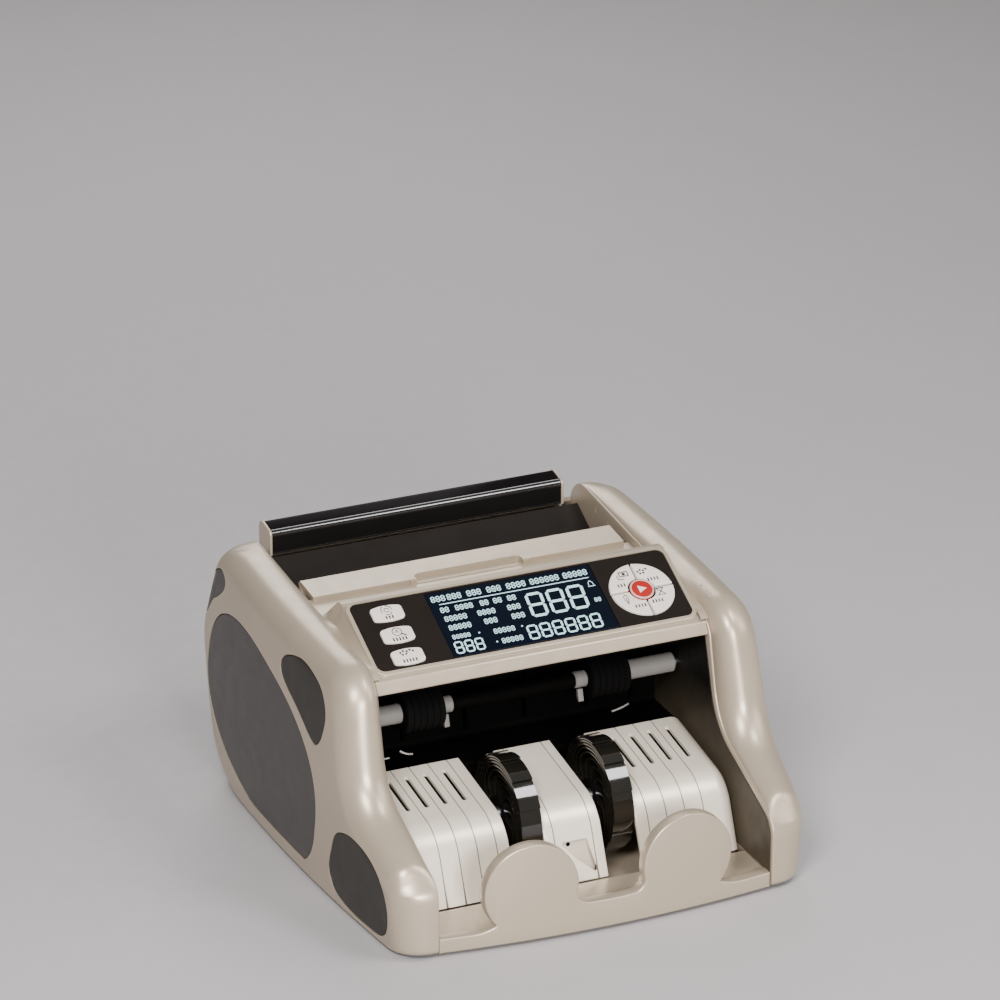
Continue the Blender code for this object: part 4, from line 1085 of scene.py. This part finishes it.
def make_stacker():
    """The three curved plates the notes slide down, with slots, fine lines and rolled outer edges."""
    path = [Vector(p[:2]) for p in rounded(STACKER_PROFILE, steps=28)]
    straight = [path[0].lerp(path[1], k / 10) for k in range(10)]
    last = [path[-2].lerp(path[-1], k / 10) for k in range(1, 11)]
    path = straight + path[1:-1] + last
    downs = [Vector((-along.y, along.x)) for _, along in steps_along(path)]
    for name, low, high in STACKER_PLATES:
        sign = -1 if name == "left" else 1
        lines = (-12.6, 12.6) if name == "center" else LINE_X
        rings = []
        floors = {x: [] for x in lines}
        for i, (p, down) in enumerate(zip(path, downs)):
            share = i / (len(path) - 1)
            groove = 0.30 + 0.35 * max(0.0, (share - 0.86) / 0.14) ** 2
            for x, floor in floors.items():
                corners = ((-groove, 0.12), (groove, 0.12), (groove, 0.6), (-groove, 0.6))
                floor.append([(sign * (x + across), *(p + down * depth)) for across, depth in corners])
            section = stacker_section(low, high, 0 if name == "center" else STACKER_ROLL, lines, groove)
            rings.append([(sign * x, *(p + down * depth)) for x, depth in section])
        plate = new_object(f"stacker_face_{name}", shape(loft, rings), STACKER)
        if name != "center":
            for x in SLOT_X:
                slot = box_outline((sign * x - 1.5, -70), (sign * x + 1.5, -36), 1.45)
                cut(plate, slab(slot, 40, 80, axis="z"), solver="EXACT")
        else:
            notch = rounded([(-9, 35, 1), (8.3, 35, 1), (13.4, 13.6, 1), (-0.7, 25, 1)])
            cut(plate, slab(notch, -125, -99, axis="y"), solver="EXACT")
        settle(plate, replaces=f"stacker_plate_{name}", slot="stacker", sharp=40)
        # Dark strips along each groove's floor are painted shade in the grooves.
        for k, x in enumerate(lines):
            piece(f"stacker_groove_shade_{name}_{k + 1}", shape(loft, floors[x]), STACKER_GROOVE_SHADE, slot="stacker")
    back = slab(box_outline((-11, 11.5), (15, 37), 1), -102.5, -101, axis="y")
    piece("stacker_notch_back", back, STACKER, slot="stacker")
    # A dark disc on the notch's back is painted shade standing for the hole there.
    hole = slab(circle((-3, 32), 1.4, 24), -102.7, -102.0, axis="y")
    piece("stacker_notch_hole_shade", hole, BAY_BLACK_AND_HOLE_SHADE, slot="matt_black")


def bow(x, middle):
    """The y of the bowed front edge at x, when its middle is at y = middle."""
    return middle + FRONT_BOW * (x / 103) ** 2


def stopper_outline():
    """The front wall's upper edge: two round ears, the valley between them and a ledge at each end."""
    lobe_x, lobe_z, radius = STOPPER_LOBE
    right = []
    for k in range(57):
        angle = math.radians(-42 + k * (222 + 14) / 56)
        right.append(Vector((lobe_x, lobe_z)) + polar(radius, angle))
    right = [p for p in right if p.y > 15.2 and p.x > 12]
    start = [(INSIDE, 12.5), (90, 12.5), (83.5, 12.9), (79.5, 13.9)]
    end = [(21.2, 25.6), (19.4, 23.4), (16.6, 21.8), (13, 21.2), (6, 21.0)]
    upper = [Vector(p) for p in start] + right + [Vector(p) for p in end]
    return upper + [Vector((-p.x, p.y)) for p in upper[::-1]]


def make_stopper():
    """The bowed front wall with its two ears, thinner where it stands before the tray."""
    steps = 72
    base = [Vector((-INSIDE + 2 * INSIDE * k / steps, COVER_BOTTOM)) for k in range(steps + 1)]
    bm = slab(stopper_outline() + base, *STOPPER_DEPTH, axis="y", edge=1.0)
    planes = [((-INSIDE + 2 * INSIDE * k / steps, 0, 0), (1, 0, 0)) for k in range(1, steps)]
    planes += [((0, 0, TRAY_TOP + up), (0, 0, 1)) for up in (0.2, 0.8)]
    for place, normal in planes:
        parts = bm.verts[:] + bm.edges[:] + bm.faces[:]
        bmesh.ops.bisect_plane(bm, geom=parts, dist=1e-4, plane_co=place, plane_no=normal)
    for vert in bm.verts:
        if vert.co.z < TRAY_TOP + 0.5:
            vert.co.y = min(vert.co.y, 0.0)
        vert.co.y += bow(vert.co.x, STOPPER_MIDDLE)
    piece("stopper_wall", bm, SHELL, replaces="front_stopper", slot="shell")


def make_base():
    """The base plate and the tray over it, with the ledge at its right end."""
    steps = 48
    across = [-INSIDE + 2 * INSIDE * k / steps for k in range(steps + 1)]
    front = [Vector((x, bow(x, TRAY_MIDDLE))) for x in across]
    plan = front + [Vector(p) for p in
                    ((INSIDE, -141), (112, -141), (130, -124), (130, 98), (112, 122), (INSIDE, 122),
                     (INSIDE, 136), (-INSIDE, 136), (-INSIDE, 122), (-112, 122), (-130, 98),
                     (-130, -124), (-112, -141), (-INSIDE, -141))]
    tray = new_object("tray_floor", slab(plan, 2.9, 5.0, axis="z"), SHELL)
    raised = front + [Vector((INSIDE, -116)), Vector((-INSIDE, -116))]
    cut(tray, slab(raised, 4.0, TRAY_TOP, axis="z"), operation="UNION", solver="EXACT")
    under = [Vector((p.x * 0.975, bow(p.x * 0.975, TRAY_MIDDLE + 2.4))) for p in front]
    under += [Vector((106.8, -118.5)), Vector((-106.8, -118.5))]
    cut(tray, slab(under, 2.0, 8.9, axis="z"), solver="EXACT")
    ribs = bmesh.new()
    for y in range(-90, 121, 30):
        prism(ribs, box_outline((-104, y - 9), (104, y + 9), 3), 2.0, 3.5, axis="z")
    cut(tray, ribs, solver="EXACT")
    settle(tray, replaces="base_tray", slot="shell", edge=0.3)
    for name in ("front_left", "front_right", "rear_left", "rear_right"):
        low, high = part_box(f"foot_{name}")
        x, y = (low.x + high.x) / 2 / MM, (low.y + high.y) / 2 / MM
        profile = [(0.02, 2.4), (0.0, 7.4), (0.4, 8.3), (1.2, 8.7), (2.6, 9.0)]
        bm = shape(turned, profile, bore=2.2)
        bm.transform(at(x, y, 0) @ Matrix.Rotation(-math.pi / 2, 4, "Y"))
        piece(f"foot_pad_{name}", bm, RUBBER, replaces=f"foot_{name}", slot="rubber")


def make_bay():
    """The dark guide behind the bay, its ribs, and the small clips and wires under the shaft."""
    path = rounded([(-56.5, 131.4, 0), (16, 131.4, 6), (16, 56, 5), (-23, 56, 0)])
    liner = new_object("bay_guide", slab(sheet(path, 1.8), -INSIDE, INSIDE), BAY_BLACK_AND_HOLE_SHADE)
    cut(liner, slab(box_outline((8, 103.5), (24, 111.5)), -98, 98), solver="EXACT")
    settle(liner, replaces="bay_liner", slot="matt_black", edge=0.3)
    # Thin dark sheets on both cheeks' inner walls are painted shade in the bay; their colour darkens from 50
    # mm to 100 mm high.
    shade_sheet_outline = rounded([(-151, 12.2, 0.5), (-151, 45, 14), (-72.5, 76.5, 43), (-56.5, 130.8, 4),
                      (14, 130.8, 0.5), (14, 12.2, 0.5)])
    for side, sign in SIDES:
        low, high = ends(sign, 109.3, 109.9)
        piece(f"bay_wall_painted_shade_{side}", slab(shade_sheet_outline, low, high), BAY_WALL_PAINTED_SHADE, slot="matt_black")
    ribs = bmesh.new()
    for x in (-92, -62, -20, 20, 62, 92):
        prism(ribs, rounded([(13.4, 62, 0), (8.5, 70, 3), (8.5, 98, 3), (13.4, 102, 0)]), x - 1.2, x + 1.2)
    piece("bay_guide_ribs", ribs, BAY_BLACK_AND_HOLE_SHADE, slot="matt_black", edge=0.2)
    clip = rounded([(-12.5, 84.5, 0.6), (-12.5, 88.6, 0.6), (-15.0, 89.0, 0.6), (-17.5, 80.5, 1),
                    (-14.0, 81.5, 0.6)])
    clips = bmesh.new()
    for x in (-45, 45):
        prism(clips, clip, x - 1.7, x + 1.7, edge=0.3)
    piece("bay_clips", clips, SLEEVE, slot="steel")
    wire("left_a", [(-104, -16, 78), (-100, -20, 74), (-94, -22, 70.5), (-86, -22, 70.8)])
    wire("left_b", [(-78, -20, 73), (-74, -21, 70), (-70, -21, 70)])
    wire("right_a", [(63, -22, 73.5), (69, -22, 74), (75, -21, 76)])


def wire(name, points):
    """A bent steel wire through the bay."""
    curve = bpy.data.curves.new(f"bay_wire_{name}", "CURVE")
    curve.dimensions = "3D"
    curve.bevel_depth = 0.8 * MM
    curve.bevel_resolution = 3
    curve.use_fill_caps = True
    spline = curve.splines.new("NURBS")
    spline.points.add(len(points) - 1)
    for target, p in zip(spline.points, points):
        target.co = (*(Vector(p) * MM), 1)
    spline.use_endpoint_u = True
    spline.order_u = 3
    curve.materials.append(STEEL)
    obj = bpy.data.objects.new(curve.name, curve)
    bpy.context.scene.collection.objects.link(obj)
    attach(obj, "housing")


def steps_along(line):
    """Each point of a line with the line's direction there."""
    last = len(line) - 1
    return [(p, (line[min(i + 1, last)] - line[max(i - 1, 0)]).normalized()) for i, p in enumerate(line)]


def vane_line(turn):
    """The middle of a vane from the hub to its tip, started at an angle."""
    points = []
    for k in range(31):
        share = k / 30
        radius = VANE_ROOT + (VANE_TIP - VANE_ROOT) * share ** VANE_RISE
        points.append(polar(radius, turn + VANE_SWEEP * share))
    return points


def make_impellers():
    """Each wheel's hub, and the long curved flexible vanes that wind round it."""
    centre = at(0, *IMPELLER_AT)
    for side in ("left", "right"):
        low = IMPELLER_X[side] - IMPELLER_WIDTH / 2
        high = low + IMPELLER_WIDTH
        profile = [(low, 10.2), (low + 0.5, 11.0), (high - 0.5, 11.0), (high, 10.2)]
        piece(f"impeller_hub_{side}", shape(turned, profile, bore=BORE), GLOSS_BLACK, centre, body="impeller",
              replaces=f"impeller_wheel_{side}", slot="impeller")
        for k in range(VANES):
            line = vane_line(2 * math.pi * k / VANES)
            left, right = [], []
            for i, (p, along) in enumerate(steps_along(line)):
                across = Vector((along.y, -along.x)) * (0.6 - 0.25 * i / len(line))
                left.append(p - across)
                right.append(p + across)
            piece(f"vane_{side}_{k + 1:02d}", slab(left + right[::-1], low, high), SMOKED, centre,
                  body="impeller", slot="impeller", sharp=50)


def make_transport():
    """The upper shaft in its pale sleeves, and the grooved rubber rollers on it and on the feed shaft."""
    centre = at(0, *TRANSPORT_AT)
    axle = [(-134.6, 3.6), (-134.2, SHAFT_R), (117.6, SHAFT_R), (118, 3.6)]
    tube = [(-40.8, 4.5), (-40.2, 5.0), (40.2, 5.0), (40.8, 4.5)]
    piece("sleeve_middle", shape(turned, tube, bore=SHAFT_R), BAY_BLACK_AND_HOLE_SHADE, centre, body="transport",
          slot="rubber")
    piece("transport_axle", shape(turned, axle), STEEL, centre, body="transport",
          replaces="transport_shaft", slot="steel")
    for side, sign in SIDES:
        for name, near, far, radius in SLEEVES:
            low, high = ends(sign, near, far)
            profile = [(low, radius - 0.5), (low + 0.5, radius), (high - 0.5, radius), (high, radius - 0.5)]
            piece(f"sleeve_{name}_{side}", shape(turned, profile, bore=SHAFT_R), SLEEVE, centre,
                  body="transport", slot="steel")
        near, far, radius = GRIP_ROLLER
        low, high = ends(sign, near, far)
        profile = [(low, radius - 0.7), (low + 0.7, radius)]
        for k in range(1, 6):
            x = low + (high - low) * k / 6
            groove = radius - 0.6
            profile += [(x - 0.5, radius), (x - 0.25, groove), (x + 0.25, groove), (x + 0.5, radius)]
        profile += [(high - 0.7, radius), (high, radius - 0.7)]
        piece(f"grip_roller_{side}", shape(turned, profile, bore=BORE), RUBBER, centre, body="transport",
              replaces=f"transport_roller_{side}", slot="rubber")
        near, far, radius = FEED_ROLLER
        low, high = ends(sign, near, far)
        profile = [(low, radius - 0.7), (low + 0.7, radius), (high - 0.7, radius), (high, radius - 0.7)]
        piece(f"pick_roller_{side}", shape(turned, profile, bore=BORE), RUBBER, at(0, *FEED_AT), body="feed",
              replaces=f"feed_roller_{side}", slot="rubber")


# ---- the back ----
def make_rear():
    """The rear wall with its louvred vents, and what is set into it."""
    path = rounded([(143.4, 143.6, 0), (161.2, 98, 38), (REAR_FOOT, COVER_BOTTOM, 0)], steps=16)
    rear = new_object("rear_wall", slab(sheet(path, WALL), -INSIDE, INSIDE), SHELL)
    slots = bmesh.new()
    for column in (-84, -28):
        for row in range(6):
            low = 30 + row * 9
            prism(slots, box_outline((column - 22, low), (column + 22, low + 3.2), 1.5), 130, 170, axis="y")
    cut(rear, slots, solver="EXACT")
    for half, place in (((14, 10.5), INLET_AT), ((6.6, 10.4), SWITCH_AT)):
        outline = box_outline((-half[0], -half[1]), half)
        cut(rear, slab(outline, -8, 8, axis="z"), rear_matrix(*place), solver="EXACT")
    settle(rear, replaces="rear_cover", slot="shell", edge=0.3)
    make_inlet()
    make_switch()
    make_screws()


def make_inlet():
    """The mains inlet with its three pins."""
    place = rear_matrix(*INLET_AT)
    rim = slab(box_outline((-15.5, -12), (15.5, 12), 2), 0.3, 2.3, axis="z", edge=0.4)
    socket = new_object("inlet_body", rim, MATT_BLACK, place)
    body = box_outline((-13.6, -10.1), (13.6, 10.1))
    cut(socket, slab(body, -16, 1.0, axis="z"), place, "UNION", "EXACT")
    recess = rounded([(-12, -8.3, 1), (-12, 8.3, 4), (12, 8.3, 4), (12, -8.3, 1)])
    cut(socket, slab(recess, -13.5, 4, axis="z"), place, solver="EXACT")
    settle(socket, replaces="ac_inlet", slot="matt_black", edge=0.2)
    pins = bmesh.new()
    for x, y in ((-7, -1.6), (7, -1.6), (0, 2.4)):
        prism(pins, box_outline((x - 1, y - 2), (x + 1, y + 2), 0.4), -14, -1.5, axis="z", edge=0.3)
    piece("inlet_pins", pins, STEEL, place, slot="steel")


def make_switch():
    """The rocker with the usual ring and bar."""
    profile = rounded([(-9, -3, 0), (-9, 3.1, 0.8), (0, 1.7, 14), (9, 3.1, 0.8), (9, -3, 0)], steps=8)
    tilt = rear_matrix(*SWITCH_AT) @ at(0, 0, -1.2) @ Matrix.Rotation(math.radians(-7), 4, "X")
    piece("rocker_cap", slab(profile, -6, 6, edge=0.4), MATT_BLACK, tilt, body="switch_rocker",
          replaces="power_switch", slot="matt_black")
    marks = bmesh.new()
    ribbon(marks, circle((0, -5.6), 1.5, 32), 0.5, 2.2, 2.75, closed=True)
    prism(marks, box_outline((-0.3, 4.0), (0.3, 7.2)), 2.2, 2.75, axis="z")
    piece("rocker_marks", marks, PRINT_LIGHT, tilt, body="switch_rocker")


def make_screws():
    """Four cross-headed screws in the rear wall."""
    places = [rear_matrix(x, z) for x in (-98, 98) for z in (14, 86)]
    screws = bmesh.new()
    for place in places:
        head = shape(turned, [(-1.0, 3.0), (0.3, 3.0), (0.85, 2.4), (1.0, 1.6)], count=32)
        join(screws, head, place @ Matrix.Rotation(-math.pi / 2, 4, "Y"))
    heads = new_object("rear_screws", screws, ZINC)
    for place in places:
        for turn in (0, math.pi / 2):
            cross = slab(box_outline((-1.6, -0.3), (1.6, 0.3)), 0.5, 2.5, axis="z")
            cut(heads, cross, place @ Matrix.Rotation(turn, 4, "Z"), solver="EXACT")
    settle(heads, slot="steel")


# ---- what stays as the solid model has it ----
def finish_inside():
    """Bevels and real finishes for the machinery inside the covers."""
    looks = {"impeller_shaft": STEEL, "feed_shaft": STEEL, "impeller_pulley": MATT_BLACK,
             "transport_pulley": MATT_BLACK, "feed_pulley": MATT_BLACK, "motor_pulley": MATT_BLACK,
             "drive_motor": ZINC, "timing_belt": RUBBER, "motor_belt": RUBBER, "side_frame_left": ZINC,
             "side_frame_right": ZINC, "main_board": BOARD, "display_module": BOARD,
             "power_transformer": LAMINATIONS}
    for name, material in looks.items():
        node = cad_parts[name]
        node.data.materials.clear()
        node.data.materials.append(material)
        round_edges(node, 0.3, 2, 40)


# ---- floor, light and camera ----
# Where each square light stands, its side and its power in watts; all look at the machine.
LIGHTS = {"key": ((-1000, -1300, 1500), 620, 44), "fill": ((1400, -800, 900), 900, 9),
          "rim": ((300, 1400, 1000), 900, 10), "window": ((560, -600, 1300), 420, 9),
          "front": ((-250, -1900, 650), 560, 38)}


def make_studio():
    """A pale floor, dim surroundings, a big light high at the front left, and softer ones round it."""
    size = 4000
    bm = slab(box_outline((-size, -size), (size, size)), -4, -0.02, axis="z")
    paint = plastic("floor_paint", (0.42, 0.40, 0.40), 0.6, mottle=0.01, depth=0.002)
    new_object("floor", bm, paint)
    world = bpy.data.worlds.new("studio")
    world.use_nodes = True
    background = world.node_tree.nodes["Background"]
    background.inputs["Color"].default_value = (0.80, 0.78, 0.78, 1)
    background.inputs["Strength"].default_value = 0.30
    bpy.context.scene.world = world
    target = Vector((0, 0, 80)) * MM
    for name, (place, size, power) in LIGHTS.items():
        light = bpy.data.lights.new(name, "AREA")
        light.size = size * MM
        light.energy = power
        obj = bpy.data.objects.new(name, light)
        obj.location = Vector(place) * MM
        obj.rotation_euler = (target - obj.location).to_track_quat("-Z", "Y").to_euler()
        bpy.context.scene.collection.objects.link(obj)


def make_camera():
    """A long lens from the front left, a little above the machine."""
    camera = bpy.data.objects.new("camera", bpy.data.cameras.new("camera"))
    camera.data.lens = 252
    camera.data.sensor_width = 36
    camera.data.clip_end = 50
    right = Vector((0.91355, -0.40674, 0.0))
    up = Vector((0.16296, 0.36603, 0.91623))
    back = Vector((-0.37266, -0.83701, 0.40066))
    matrix = Matrix((right, up, back)).transposed().to_4x4()
    matrix.translation = Vector((-1.586, -3.557, 1.921))
    camera.matrix_world = matrix
    bpy.context.scene.collection.objects.link(camera)
    bpy.context.scene.camera = camera


make_camera()
make_sides()
make_hood()
make_fascia()
make_display()
make_keys()
make_hopper()
make_stacker()
make_stopper()
make_base()
make_bay()
make_impellers()
make_transport()
make_rear()
finish_inside()
make_studio()
